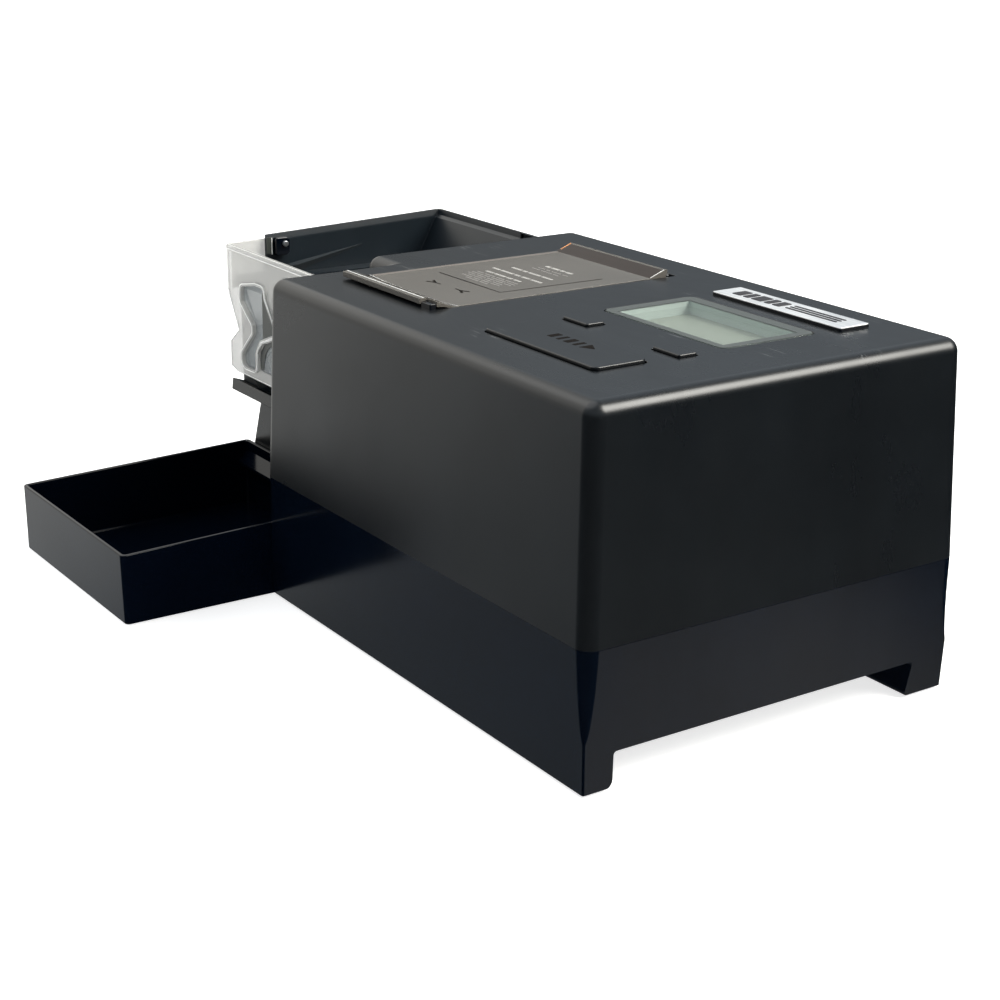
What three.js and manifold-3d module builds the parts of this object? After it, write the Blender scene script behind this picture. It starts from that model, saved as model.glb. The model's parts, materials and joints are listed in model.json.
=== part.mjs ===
// Electric tube-filling machine for the table: a two-part black housing with a display, a start button
// and a smoked lid over the filling chamber, a tube hopper with a clear front at its left, and a loose
// catch tray in front of the hopper. Millimetres, +Z up, +X to the operator's right, -Y to the operator.
// The parts are laid out from the seam's front left corner, and the group then moves the whole machine
// so that its origin is the middle of its footprint, on the table.

import * as THREE from 'three';
import { mergeVertices } from 'three/addons/utils/BufferGeometryUtils.js';
import Module from 'manifold-3d';

const wasm = await Module();
wasm.setup();

// ---------------------------------------------------------------- driving dimensions
const WIDTH = 236;               // housing, left to right at the seam
const DEPTH = 179;               // housing, front to back at the seam
const COVER_HEIGHT = 87;         // seam to the top face
const BASE_HEIGHT = 56;          // table to the seam
const WALL = 2.5;                // housing walls
const GAP = 0.3;                 // between pieces that touch
const EXTENSION = { width: 20, front: 58.5 };   // the wider part of the housing at the back left
const CORNER_RADIUS = 7;
const BASE_CORNER = { radius: 2.5, top: -34 };     // the base's corners sharpen downwards to this height
const TOP_FILLET = 5.8;
const COVER_DRAFT = Math.tan(THREE.MathUtils.degToRad(1.85));
const BASE_DRAFT = Math.tan(THREE.MathUtils.degToRad(1.5));
const FLOOR = -BASE_HEIGHT;      // the table
const PAD = 0.8;                 // rubber pads below the skids
const CORNER_POSTS = [[12, 12], [WIDTH - 12, 12], [WIDTH - 12, DEPTH - 12], [-8, DEPTH - 12]];
const FOOT_PADS = [[34, 8.5], [WIDTH - 34, 8.5], [WIDTH - 34, DEPTH - 9.5], [34, DEPTH - 9.5]];
const TUNNEL = { front: 14.4, back: 160.5, top: -40.8, radius: 1.5 };   // arch under the base

const LID = { left: 20.7, right: 89.6, lipFront: 29, lipTop: 90.3, panelFront: 41, panelBack: 139,
  thick: 1.2 };
const LID_RECESS = { front: 35.4, floor: 85.4, side: 0.4 };   // the lid lies level with the cover
const LID_AXIS = { y: 148.2, z: 87.9, radius: 2.2, pin: 1.1, bore: 1.4 };
const LID_CATCH = { x0: 82.8, x1: 89.6, y0: 29.3, y1: 32.2, top: 89.2 };
const KNUCKLES = { at: [30, 80], width: 5 };   // left edges of the cover's two hinge knuckles
const CHAMBER = { left: 26, right: 86, front: 46, back: 132, floor: 18 };
const STIRRER = { x: 56, z: 50, reach: 17 };
const PLUNGER = { stroke: 24, tip: 58, height: 7 };

const START = { x0: 129, x1: 199, y0: 28.7, y1: 52.3, proud: 1.3, travel: 1.2, radius: 2.5 };
const KEY = { y0: 65.2, y1: 73.8, proud: 1.2, travel: 1.0, radius: 1 };
const LEFT_KEY = { x0: 128.8, x1: 144.8 };
const RIGHT_KEY = { x0: 184.8, x1: 200.4 };
const LENS = { x0: 124.4, x1: 198.8, y0: 87.2, y1: 133.4, radius: 3.8, thick: 2.2 };
const PLATE = { x0: 126.5, x1: 202, y0: 142, y1: 157.3, thick: 1.5 };

const TRAY = { x0: -115, x1: 0.3, y0: -68.5, y1: 49.2, frontHeight: 31.2, backHeight: 34.6, wall: 1.8 };
const TRAY_SLIDE = { top: -26, reach: 5.5, thick: 1.6 };   // slope that leads tubes off the back wall
const BIN = { x0: -99, notchX: -1.8, x1: -20.8, y0: 36.4, y1: 152, wall: 2.2, bottom: 62, lean: 12,
  sideFront: 53.6, lowSide: 78 };   // lean: how far the back wall leans in at the bottom
const BIN_RIM = { atFront: 83.1, atBack: 87.2 };
const FRONT_PLATE = { y0: 34, y1: 36, top: 81, bottom: 20.3, sideBack: 57.4 };
// The window in the front, round the path that the tubes fall along.
const SERPENTINE = [[-84.8, 63], [-84.8, 56], [-73, 47.4], [-73, 42], [-85.4, 31.5], [-85.4, 25.2],
  [-71.7, 25.2], [-71.2, 36.8], [-52, 46], [-52, 51], [-61.4, 61], [-62.4, 66.4]];
const FEEDER = { left: -109, top: -100, right: -21, front: 49.5, back: 176, deck: 3 };
const DRUM = { x: -60, z: 26, radius: 10, pockets: 4, front: 38.2, back: 120 };
const TUBE = 8.2;                // diameter of a paper tube
const INJECTOR = { x: -35, z: 16, axisY: 132.8, axisZ: -8 };
const GUIDE_RODS = { at: [-43, -27], z: 10, radius: 2 };
const INJECTOR_COVER = { x0: -94, x1: -21.6, y0: 125, y1: 175.6, top: 48 };
const INLET = { x: 183, z: -15, radius: 3 };
const SWITCH = { x0: 200, x1: 215, z0: -25, z1: -5, flange: 1.5 };
const BOARD = { x0: 116, x1: 212, y0: 17, y1: 140, top: 69.7, switchTop: 75.2 };

const MODULE_SIZE = 1.25;        // gear tooth size, pitch diameter per tooth
const MAIN_GEAR = { teeth: 40, x0: 13, x1: 19 };
const MOTOR_PINION = { teeth: 12 };
const RACK_PINION = { teeth: 16, x0: -38, x1: -31 };
const STIRRER_GEAR = { teeth: 24, y0: 139, y1: 144 };
const STIRRER_PINION = { teeth: 12 };
const MESH_CLEARANCE = 0.35;     // added to every gear centre distance

// ---------------------------------------------------------------- materials
const finish = (color, roughness, metalness = 0, opacity = 1) => new THREE.MeshStandardMaterial(
  { color, roughness, metalness, opacity, transparent: opacity < 1 });
const SATIN_BLACK = finish(0x17181a, 0.45);
const GLOSS_BLACK = finish(0x0e0f11, 0.22);
const INNER_BLACK = finish(0x1a1a1c, 0.6);
const SMOKED = finish(0x4a3c30, 0.15, 0, 0.75);
const CLEAR = finish(0xd9d7d2, 0.2, 0, 0.45);
const SCREEN = finish(0x9fa895, 0.35);
const SILVER = finish(0xb9babc, 0.35, 0.9);
const STEEL = finish(0x9a9c9f, 0.3, 1);
const BRASS = finish(0xb08d45, 0.35, 1);
const GEAR_WHITE = finish(0xd8d6cc, 0.5);
const BOARD_GREEN = finish(0x1f5a38, 0.5);
const RUBBER = finish(0x202020, 0.9);

// ---------------------------------------------------------------- making and joining solids
const group = new THREE.Group();
group.position.set(-(TRAY.x0 + WIDTH) / 2, -(TRAY.y0 + DEPTH) / 2, BASE_HEIGHT);

function toSolid(geometry) {
  const bare = geometry.clone();
  bare.deleteAttribute('normal');
  bare.deleteAttribute('uv');
  const merged = mergeVertices(bare, 1e-4);
  return new wasm.Manifold(new wasm.Mesh({
    numProp: 3,
    vertProperties: new Float32Array(merged.attributes.position.array),
    triVerts: new Uint32Array(merged.index.array),
  }));
}

function toGeometry(solid) {
  const mesh = solid.getMesh();
  const geometry = new THREE.BufferGeometry();
  geometry.setAttribute('position', new THREE.BufferAttribute(mesh.vertProperties.slice(), 3));
  geometry.setIndex(new THREE.BufferAttribute(mesh.triVerts.slice(), 1));
  geometry.computeVertexNormals();
  return geometry;
}

function add(name, solid, material) {
  const mesh = new THREE.Mesh(toGeometry(solid), material);
  mesh.name = name;
  group.add(mesh);
}

const join = (first, ...others) => others.reduce((sum, other) => sum.add(other), first);
const cut = (first, ...others) => others.reduce((rest, other) => rest.subtract(other), first);

function box(x0, x1, y0, y1, z0, z1) {
  const geometry = new THREE.BoxGeometry(x1 - x0, y1 - y0, z1 - z0);
  geometry.translate((x0 + x1) / 2, (y0 + y1) / 2, (z0 + z1) / 2);
  return toSolid(geometry);
}

// An outline of corners [x, y], each corner rounded, as a THREE.Shape.
function roundedShape(corners, radius) {
  const handle = 0.5523;         // makes a cubic curve a quarter circle
  const shape = new THREE.Shape();
  corners.forEach(([x, y], i) => {
    const here = new THREE.Vector2(x, y);
    const before = new THREE.Vector2(...corners[(i + corners.length - 1) % corners.length]);
    const after = new THREE.Vector2(...corners[(i + 1) % corners.length]);
    const inward = before.clone().sub(here).setLength(radius);
    const outward = after.clone().sub(here).setLength(radius);
    const start = here.clone().add(inward);
    const end = here.clone().add(outward);
    const c1 = here.clone().add(inward.multiplyScalar(1 - handle));
    const c2 = here.clone().add(outward.multiplyScalar(1 - handle));
    if (i === 0) shape.moveTo(start.x, start.y);
    else shape.lineTo(start.x, start.y);
    shape.bezierCurveTo(c1.x, c1.y, c2.x, c2.y, end.x, end.y);
  });
  shape.closePath();
  return shape;
}

const rectangle = (x0, x1, y0, y1) => [[x0, y0], [x1, y0], [x1, y1], [x0, y1]];

// A flat outline pushed along Z, X or Y. The outline's axes are (x, y), (y, z) and (x, z).
function pushed(shape, along, from, to, curveSegments = 5) {
  const geometry = new THREE.ExtrudeGeometry(shape, { depth: to - from, bevelEnabled: false, curveSegments });
  geometry.translate(0, 0, from);
  if (along === 'x') geometry.applyMatrix4(new THREE.Matrix4().makeBasis(
    new THREE.Vector3(0, 1, 0), new THREE.Vector3(0, 0, 1), new THREE.Vector3(1, 0, 0)));
  if (along === 'y') {
    geometry.translate(0, 0, -from - to);
    geometry.applyMatrix4(new THREE.Matrix4().makeBasis(
      new THREE.Vector3(1, 0, 0), new THREE.Vector3(0, 0, 1), new THREE.Vector3(0, -1, 0)));
  }
  return toSolid(geometry);
}

const polygon = (corners) => new THREE.Shape(corners.map(([x, y]) => new THREE.Vector2(x, y)));
const roundedBox = (x0, x1, y0, y1, z0, z1, radius) =>
  pushed(roundedShape(rectangle(x0, x1, y0, y1), radius), 'z', z0, z1);

// A round bar along an axis; (a, b) is its centre in the two other axes, in X, Y, Z order.
function bar(along, a, b, radius, from, to, sides = 20) {
  const geometry = new THREE.CylinderGeometry(radius, radius, to - from, sides);
  const middle = (from + to) / 2;
  if (along === 'x') geometry.rotateZ(Math.PI / 2).translate(middle, a, b);
  if (along === 'y') geometry.translate(a, middle, b);
  if (along === 'z') geometry.rotateX(Math.PI / 2).translate(a, b, middle);
  return toSolid(geometry);
}

// A closed skin through outlines with the same number of points, stacked upwards.
function loft(sections) {
  const count = sections[0].points.length;
  const positions = sections.flatMap(({ points, z }) => points.flatMap((p) => [p.x, p.y, z(p)]));
  const index = [];
  for (let level = 0; level + 1 < sections.length; level++) {
    for (let i = 0; i < count; i++) {
      const a = level * count + i;
      const b = level * count + (i + 1) % count;
      index.push(a, b, b + count, a, b + count, a + count);
    }
  }
  const top = (sections.length - 1) * count;
  for (const [a, b, c] of THREE.ShapeUtils.triangulateShape(sections[0].points, [])) {
    index.push(a, c, b, top + a, top + b, top + c);
  }
  const geometry = new THREE.BufferGeometry();
  geometry.setAttribute('position', new THREE.Float32BufferAttribute(positions, 3));
  geometry.setIndex(index);
  return toSolid(geometry);
}

const section = (corners, radius, height) => ({
  points: roundedShape(corners, radius).getPoints(5).slice(0, -1),
  z: typeof height === 'function' ? height : () => height,
});

// ---------------------------------------------------------------- gears
// A wheel with straight-sided teeth; every other wheel starts half a tooth on, so that pairs mesh.
function gearShape(teeth, startAngle) {
  const pitchRadius = teeth * MODULE_SIZE / 2;
  const tip = pitchRadius + MODULE_SIZE * 0.85;
  const root = pitchRadius - MODULE_SIZE * 1.15;
  const step = 2 * Math.PI / teeth;
  const points = [];
  for (let i = 0; i < teeth; i++) {
    const middle = startAngle + i * step;
    for (const [radius, offset] of [[root, -0.29], [tip, -0.1], [tip, 0.1], [root, 0.29]]) {
      const angle = middle + offset * step;
      points.push([radius * Math.cos(angle), radius * Math.sin(angle)]);
    }
  }
  return points;
}

function gear(along, a, b, teeth, from, to, startAngle = 0) {
  return pushed(polygon(gearShape(teeth, startAngle).map(([u, v]) => [u + a, v + b])), along, from, to);
}

// ---------------------------------------------------------------- housing
// The L-shaped plan of the housing, drawn in from the seam's outline by an inset.
function plan(inset) {
  const { width, front } = EXTENSION;
  return [[inset, inset], [WIDTH - inset, inset], [WIDTH - inset, DEPTH - inset],
    [-width + inset, DEPTH - inset], [-width + inset, front + inset], [inset, front + inset]];
}

function coverSolid(inset, height, fillet) {
  const steps = 4;
  const sections = [section(plan(inset), CORNER_RADIUS - inset, 0)];
  for (let i = 0; i <= steps; i++) {
    const angle = i / steps * Math.PI / 2;
    const drawnIn = COVER_DRAFT * (height - fillet) + fillet * (1 - Math.cos(angle));
    const radius = Math.max(CORNER_RADIUS - inset - fillet * (1 - Math.cos(angle)), 1);
    sections.push(section(plan(inset + drawnIn), radius, height - fillet + fillet * Math.sin(angle)));
  }
  return loft(sections);
}

const keyShapes = [LEFT_KEY, RIGHT_KEY].map((key) => ({ ...KEY, ...key }));

function topCover() {
  const inside = COVER_HEIGHT - WALL;
  const drawn = COVER_DRAFT * COVER_HEIGHT;
  let cover = cut(coverSolid(0, COVER_HEIGHT, TOP_FILLET), coverSolid(WALL, inside, TOP_FILLET - WALL));
  const lidOpening = roundedBox(CHAMBER.left, CHAMBER.right, CHAMBER.front, CHAMBER.back, inside - 2, 99, 3);
  const { side, front, floor } = LID_RECESS;
  const lidRecess = box(LID.left - side, LID.right + side, front, LID_AXIS.y + 4.5, floor, 99);
  const buttonHoles = [START, ...keyShapes].map(({ x0, x1, y0, y1, radius }) =>
    roundedBox(x0 - 0.5, x1 + 0.5, y0 - 0.5, y1 + 0.5, inside - 2, 99, radius + 0.5));
  const lensSeat = roundedBox(LENS.x0 - GAP, LENS.x1 + GAP, LENS.y0 - GAP, LENS.y1 + GAP, inside - 2, 99,
    LENS.radius);
  cover = cut(cover, lidOpening, lidRecess, lensSeat, ...buttonHoles);
  const { y, z, radius, bore } = LID_AXIS;
  const knuckles = KNUCKLES.at.map((x) => cut(
    join(box(x, x + KNUCKLES.width, y - radius, y + radius, inside + 0.4, z),
      bar('x', y, z, radius, x, x + KNUCKLES.width)),
    bar('x', y, z, bore, x - 1, x + KNUCKLES.width + 1)));
  const posts = CORNER_POSTS.map(([px, py]) =>
    cut(bar('z', px, py, 4.5, 0.2, inside + 1, 16), bar('z', px, py, 1.3, -1, 30, 12)));
  const boardPosts = rectangle(BOARD.x0 + 4, BOARD.x1 - 4, BOARD.y0 + 3, BOARD.y1 - 3).map(([px, py]) =>
    bar('z', px, py, 3, BOARD.top + GAP, inside + 1, 12));
  const postWebs = [[WALL + drawn - 1, 9], [WIDTH - 9, WIDTH - WALL - 1]].map(([x0, x1]) =>
    box(x0, x1, 11, 13, 40, inside + 1));
  const lidCatch = box(LID_CATCH.x0, LID_CATCH.x1, LID_CATCH.y0, LID_CATCH.y1, inside + 1, LID_CATCH.top);
  return join(cover, ...knuckles, ...posts, ...boardPosts, ...postWebs, lidCatch);
}

function baseHousing() {
  const low = FLOOR + PAD;
  const outside = loft([
    section(plan(BASE_DRAFT * -low), BASE_CORNER.radius, low),
    section(plan(BASE_DRAFT * -BASE_CORNER.top), BASE_CORNER.radius, BASE_CORNER.top),
    section(plan(0), CORNER_RADIUS, -GAP)]);
  const floorTop = TUNNEL.top + WALL;
  const inside = loft([
    section(plan(WALL + BASE_DRAFT * -floorTop), CORNER_RADIUS - WALL - 1, floorTop),
    section(plan(WALL), CORNER_RADIUS - WALL, 1)]);
  const arch = roundedShape([[TUNNEL.front, low - 9], [TUNNEL.back, low - 9], [TUNNEL.back, TUNNEL.top],
    [TUNNEL.front, TUNNEL.top]], TUNNEL.radius);
  const skidHollows = [[3.5, TUNNEL.front - 3], [TUNNEL.back + 3, DEPTH - 4]].map(([y0, y1]) =>
    box(12, WIDTH - 12, y0, y1, low + 4, floorTop + 1));
  const shaftHole = bar('x', INJECTOR.axisY, INJECTOR.axisZ, 4.2, -EXTENSION.width - 2, -8);
  const drainSlots = [0, 1, 2, 3, 4, 5].map((i) =>
    box(150 + i * 8, 153 + i * 8, 70, 110, TUNNEL.top - 1, floorTop + 1));
  const inletHole = box(INLET.x - 7, INLET.x + 7, DEPTH - 6, DEPTH + 2, INLET.z - 6, INLET.z + 6);
  const switchHole = box(SWITCH.x0, SWITCH.x1, DEPTH - 6, DEPTH + 2, SWITCH.z0, SWITCH.z1);
  const posts = CORNER_POSTS.map(([x, y]) => bar('z', x, y, 4.5, floorTop - 3, -GAP, 16));
  const screwHoles = CORNER_POSTS.flatMap(([x, y]) =>
    [bar('z', x, y, 1.8, low - 1, 1, 12), bar('z', x, y, 3.2, low - 1, -12, 12)]);
  const shell = cut(outside, inside, pushed(arch, 'x', -EXTENSION.width - 9, WIDTH + 9), ...skidHollows);
  return cut(join(shell, ...posts), shaftHole, inletHole, switchHole, ...drainSlots, ...screwHoles);
}

add('top_cover', topCover(), SATIN_BLACK);
add('base_housing', baseHousing(), GLOSS_BLACK);

// Rubber pads under the two skids and the screws that come up through the corners.
FOOT_PADS.forEach(([x, y], i) =>
  add(`foot_pad_${i + 1}`, roundedBox(x - 9, x + 9, y - 4.2, y + 4.2, FLOOR, FLOOR + PAD - 0.05, 4), RUBBER));

CORNER_POSTS.forEach(([x, y], i) =>
  add(`housing_screw_${i + 1}`, join(bar('z', x, y, 2.8, -15, -12.3, 12), bar('z', x, y, 1.1, -13, 14, 10)),
    STEEL));

// ---------------------------------------------------------------- chamber lid, chamber and stirrer
// A thin sheet level with the cover. It rises to a lip at the front and to the hinge barrel at the back.
function chamberLid() {
  const { left, right, lipFront, lipTop, panelFront, panelBack, thick } = LID;
  const { y, z, radius, bore } = LID_AXIS;
  const top = COVER_HEIGHT + 0.2;
  const lipBack = lipFront + 2.4;
  const profile = polygon([
    [lipFront, COVER_HEIGHT + 1], [lipBack, COVER_HEIGHT + 1], [lipBack + 4.6, COVER_HEIGHT + 0.5],
    [panelFront - 0.5, top - thick], [panelBack, top - thick], [y - 1, z - 1.6], [y, z + radius],
    [y - 1.5, z + radius], [panelBack, top], [panelFront - 0.5, top], [lipBack, lipTop], [lipFront, lipTop]]);
  const catchGap = box(LID_CATCH.x0 - 0.5, right + 1, lipFront - 1, LID_CATCH.y1 + GAP, COVER_HEIGHT, 99);
  const knuckleGaps = KNUCKLES.at.map((x) =>
    box(x - 0.4, x + KNUCKLES.width + 0.4, y - 3.2, y + 9, LID_RECESS.floor - 1, z + radius + 1));
  return cut(join(pushed(profile, 'x', left, right), bar('x', y, z, radius, left, right)),
    bar('x', y, z, bore, left - 1, right + 1), catchGap, ...knuckleGaps);
}

function tobaccoChamber() {
  const { left, right, front, back, floor } = CHAMBER;
  const rim = COVER_HEIGHT - WALL - GAP;
  const shell = join(box(left - 2.5, right + 2.5, front - 2.5, back + 2.5, rim - 2, rim),
    box(left - 1, right + 1, front - 1, back + 1, floor, rim));
  const well = roundedShape([[left + 1.2, rim + 9], [left + 1.2, STIRRER.z - 6], [STIRRER.x - 9, floor + 3],
    [STIRRER.x + 9, floor + 3], [right - 1.2, STIRRER.z - 6], [right - 1.2, rim + 9]].reverse(), 4);
  return cut(shell, pushed(well, 'y', front + 1.2, back - 1.2),
    box(left - 3, right + 3, front + 6, back - 6, floor + 3, floor + 11),
    bar('y', STIRRER.x, STIRRER.z, 3, front - 3, back + 3));
}

function stirrer() {
  const { x, z, reach } = STIRRER;
  const shaft = bar('y', x, z, 2.6, CHAMBER.front - 1, STIRRER_GEAR.y0 + 0.5);
  const fingers = [0, 1, 2, 3, 4, 5].map((i) => {
    const along = CHAMBER.front + 12 + i * 12.4;
    const turned = new THREE.CylinderGeometry(1.4, 1.4, 2 * reach, 10).rotateX(Math.PI / 2);
    turned.rotateY(i * Math.PI / 3).translate(x, along, z);
    return toSolid(turned);
  });
  return join(shaft, ...fingers);
}

const stirrerPinionZ = STIRRER.z - (STIRRER_GEAR.teeth + STIRRER_PINION.teeth) * MODULE_SIZE / 2
  - MESH_CLEARANCE;

function stirrerGear() {
  const wheel = gear('y', STIRRER.x, STIRRER.z, STIRRER_GEAR.teeth, STIRRER_GEAR.y0, STIRRER_GEAR.y1,
    Math.PI / 2);
  return cut(wheel, bar('y', STIRRER.x, STIRRER.z, 2.9, STIRRER_GEAR.y0 - 1, STIRRER_GEAR.y0 + 2.2));
}

add('chamber_lid', chamberLid(), SMOKED);
add('lid_hinge_pin', bar('x', LID_AXIS.y, LID_AXIS.z, LID_AXIS.pin, LID.left + 0.5, LID.right - 0.5, 14),
  STEEL);
add('tobacco_chamber', tobaccoChamber(), INNER_BLACK);
add('stirrer', stirrer(), STEEL);
add('stirrer_gear', stirrerGear(), GEAR_WHITE);
add('stirrer_pinion', gear('y', STIRRER.x, stirrerPinionZ, STIRRER_PINION.teeth, STIRRER_GEAR.y0,
  STIRRER_GEAR.y1, Math.PI / 2 + Math.PI / STIRRER_PINION.teeth), BRASS);
add('stirrer_motor', join(bar('y', STIRRER.x, stirrerPinionZ, 12, 148, 170),
  bar('y', STIRRER.x, stirrerPinionZ, 4, 145.5, 149),
  bar('y', STIRRER.x, stirrerPinionZ, 1.5, 144.3, 146, 10)), STEEL);

// The bar that packs the filling sideways, in the slot under the stirrer, with a lug for its cam.
function compressionPlunger() {
  const { tip, stroke, height } = PLUNGER;
  const z = CHAMBER.floor + 3.5;
  const bladeEnds = [CHAMBER.front + 6.5, CHAMBER.back - 6.5];
  const lug = CHAMBER.right + stroke + 2;
  return join(box(tip, lug + 1, ...bladeEnds, z, z + height), box(lug, lug + 5, 82, 96, z - 4, z + 11));
}
add('compression_plunger', compressionPlunger(), STEEL);

// ---------------------------------------------------------------- controls
function pressButton({ x0, x1, y0, y1, proud, radius, travel }) {
  const flangeTop = COVER_HEIGHT - WALL - GAP;
  const middleX = (x0 + x1) / 2;
  const middleY = (y0 + y1) / 2;
  const stemX = Math.min(4, (x1 - x0) / 4);
  return join(roundedBox(x0, x1, y0, y1, flangeTop - 1, COVER_HEIGHT + proud, radius),
    box(x0 - 1.8, x1 + 1.8, y0 - 1.8, y1 + 1.8, flangeTop - 1.5, flangeTop),
    box(middleX - stemX, middleX + stemX, middleY - 2, middleY + 2, BOARD.switchTop + travel + 0.2,
      flangeTop - 1));
}

const buttonCentres = [START, ...keyShapes].map(({ x0, x1, y0, y1 }) => [(x0 + x1) / 2, (y0 + y1) / 2]);

function controlBoard() {
  const { x0, x1, y0, y1, top, switchTop } = BOARD;
  const board = box(x0, x1, y0, y1, top - 1.7, top);
  const switches = buttonCentres.flatMap(([x, y]) =>
    [box(x - 3.2, x + 3.2, y - 3.2, y + 3.2, top - 0.2, switchTop - 1.2),
      bar('z', x, y, 1.8, switchTop - 1.7, switchTop, 12)]);
  const chips = [[150, 60, 12], [168, 75, 8], [205, 90, 4]].map(([x, y, half]) =>
    box(x - half, x + half, y - 4, y + 4, top - 3.7, top - 1.2));
  return join(board, ...switches, ...chips);
}

add('start_button', pressButton(START), SATIN_BLACK);
add('left_key', pressButton(keyShapes[0]), SATIN_BLACK);
add('right_key', pressButton(keyShapes[1]), SATIN_BLACK);
add('display_lens', roundedBox(LENS.x0, LENS.x1, LENS.y0, LENS.y1, COVER_HEIGHT - LENS.thick,
  COVER_HEIGHT + 0.1, LENS.radius), CLEAR);
add('display_panel', join(roundedBox(LENS.x0 + 3, LENS.x1 - 3, LENS.y0 + 3, LENS.y1 - 3, 79, 84.4, 1),
  box(LENS.x0 + 14, LENS.x1 - 14, LENS.y0 + 8, LENS.y1 - 8, BOARD.top + GAP, 80)), SCREEN);
add('name_plate', roundedBox(PLATE.x0, PLATE.x1, PLATE.y0, PLATE.y1, COVER_HEIGHT + 0.05,
  COVER_HEIGHT + PLATE.thick, 0.8), SILVER);
add('control_board', controlBoard(), BOARD_GREEN);

// ---------------------------------------------------------------- tube hopper
const rimHeight = ({ y }) =>
  BIN_RIM.atFront + (y - BIN.y0) / (BIN.y1 - BIN.y0) * (BIN_RIM.atBack - BIN_RIM.atFront);

// The bin is L-shaped in plan, round the housing's corner, and its back wall leans in at the bottom.
function binPlan(inset, lean) {
  const { x0, notchX, x1, y0, y1 } = BIN;
  const step = EXTENSION.front - 1;
  return [[x0 + inset, y0 + inset], [notchX - inset, y0 + inset], [notchX - inset, step - inset],
    [x1 - inset, step - inset], [x1 - inset, y1 - inset - lean], [x0 + inset, y1 - inset - lean]];
}

function tubeBin() {
  const outside = loft([section(binPlan(0, BIN.lean), 3, BIN.bottom),
    section(binPlan(0, 0), 3, rimHeight)]);
  const inside = loft([
    section(binPlan(BIN.wall, BIN.lean), 1, BIN.bottom + 2.2),
    section(binPlan(BIN.wall, -1), 1, rimHeight),
    section(binPlan(BIN.wall, -1), 1, 99)]);
  const low = BIN.bottom + 4;
  const openFront = box(BIN.x0 - 1, BIN.notchX - BIN.wall, BIN.y0 - 1, BIN.y0 + BIN.wall + 1, low, 99);
  const openSide = box(BIN.x0 - 1, BIN.x0 + BIN.wall + 1, BIN.y0 - 1, BIN.sideFront, low, 99);
  const mouth = box(-88, -68, BIN.y0 + BIN.wall, 122, BIN.bottom - 1, low);
  const { x1, notchX, y0, y1, wall, lowSide } = BIN;
  const besideCover = box(x1 - wall - 1, notchX + 1, y0 - 1, y1 - wall, lowSide, 99);
  return cut(outside, inside, openFront, openSide, mouth, besideCover);
}

// The clear front: a plate with a rib round its window, and a return that stands in for the bin's left
// wall at the front.
function hopperFront() {
  const { y0, y1, top, bottom, sideBack } = FRONT_PLATE;
  const { x0, notchX } = BIN;
  const edge = polygon([[notchX, top], [notchX, bottom], [-93.3, bottom], [x0 - 0.8, 21.9],
    [x0 - 0.2, 34.5], [-90.3, 41.2], [x0 - 0.4, 57], [x0, top]]);
  const middle = [-70, 45];
  const outline = (scale) => roundedShape(SERPENTINE.map((corner) =>
    corner.map((at, i) => middle[i] + scale * (at - middle[i]))), 2);
  const rib = cut(pushed(outline(1.07), 'y', y0 - 1.2, y0 + 0.5, 3),
    pushed(outline(0.97), 'y', y0 - 2, y0 + 1, 3));
  const returnSide = polygon([[y1 - 1, 58.5], [sideBack, 66], [sideBack, 81.6], [y1 - 1, top]]);
  const sideWall = pushed(returnSide, 'x', x0 - 1.9, x0 - GAP);
  const joint = box(x0 - 1.9, x0 + 1, y0, y1, 58.5, top);
  const topRim = box(x0, notchX, y0 - 1, y0 + 0.5, top - 2, top);
  return join(pushed(edge, 'y', y0, y1), rib, sideWall, joint, topRim);
}

// The serpentine: two guides with the falling path between them, on a common back plate.
function tubeChannel() {
  const from = 38.6;
  const backPlate = { y0: 121.4, y1: 124.2 };
  const left = polygon([[-96, 61.5], [-90.5, 61.5], [-79.6, 45], [-91, 35.5], [-90.4, 22], [-80, 14.5],
    [-72, 13.5], [-72, 12], [-96, 12]].reverse());
  const right = polygon([[-66, 61.5], [-24, 61.5], [-24, 24], [-47, 24], [-50.5, 36.5], [-73, 38.5],
    [-63, 45]].reverse());
  const plate = box(-96, -24, backPlate.y0, backPlate.y1, 12, 61.5);
  const drumClearance = bar('y', DRUM.x, DRUM.z, DRUM.radius + 1, from - 2, 120.8, 28);
  const guides = [left, right].map((outline) => pushed(outline, 'y', from, backPlate.y0 + 1));
  return cut(join(cut(join(...guides), drumClearance), plate),
    bar('y', DRUM.x, DRUM.z, 2.9, 118, 130), bar('y', INJECTOR.x, INJECTOR.z, 4.4, 118, 130));
}

function feedDrum() {
  const drum = bar('y', DRUM.x, DRUM.z, DRUM.radius, DRUM.front, DRUM.back, 32);
  const pockets = Array.from({ length: DRUM.pockets }, (_, i) => {
    const angle = Math.PI + i * 2 * Math.PI / DRUM.pockets;
    const reach = DRUM.radius + 0.6;
    return bar('y', DRUM.x + reach * Math.cos(angle), DRUM.z + reach * Math.sin(angle), TUBE / 2 + 0.3,
      DRUM.front - 1, DRUM.back + 1, 16);
  });
  return cut(drum, ...pockets, bar('y', DRUM.x, DRUM.z, 2.8, DRUM.front - 1, DRUM.back + 1));
}

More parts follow.
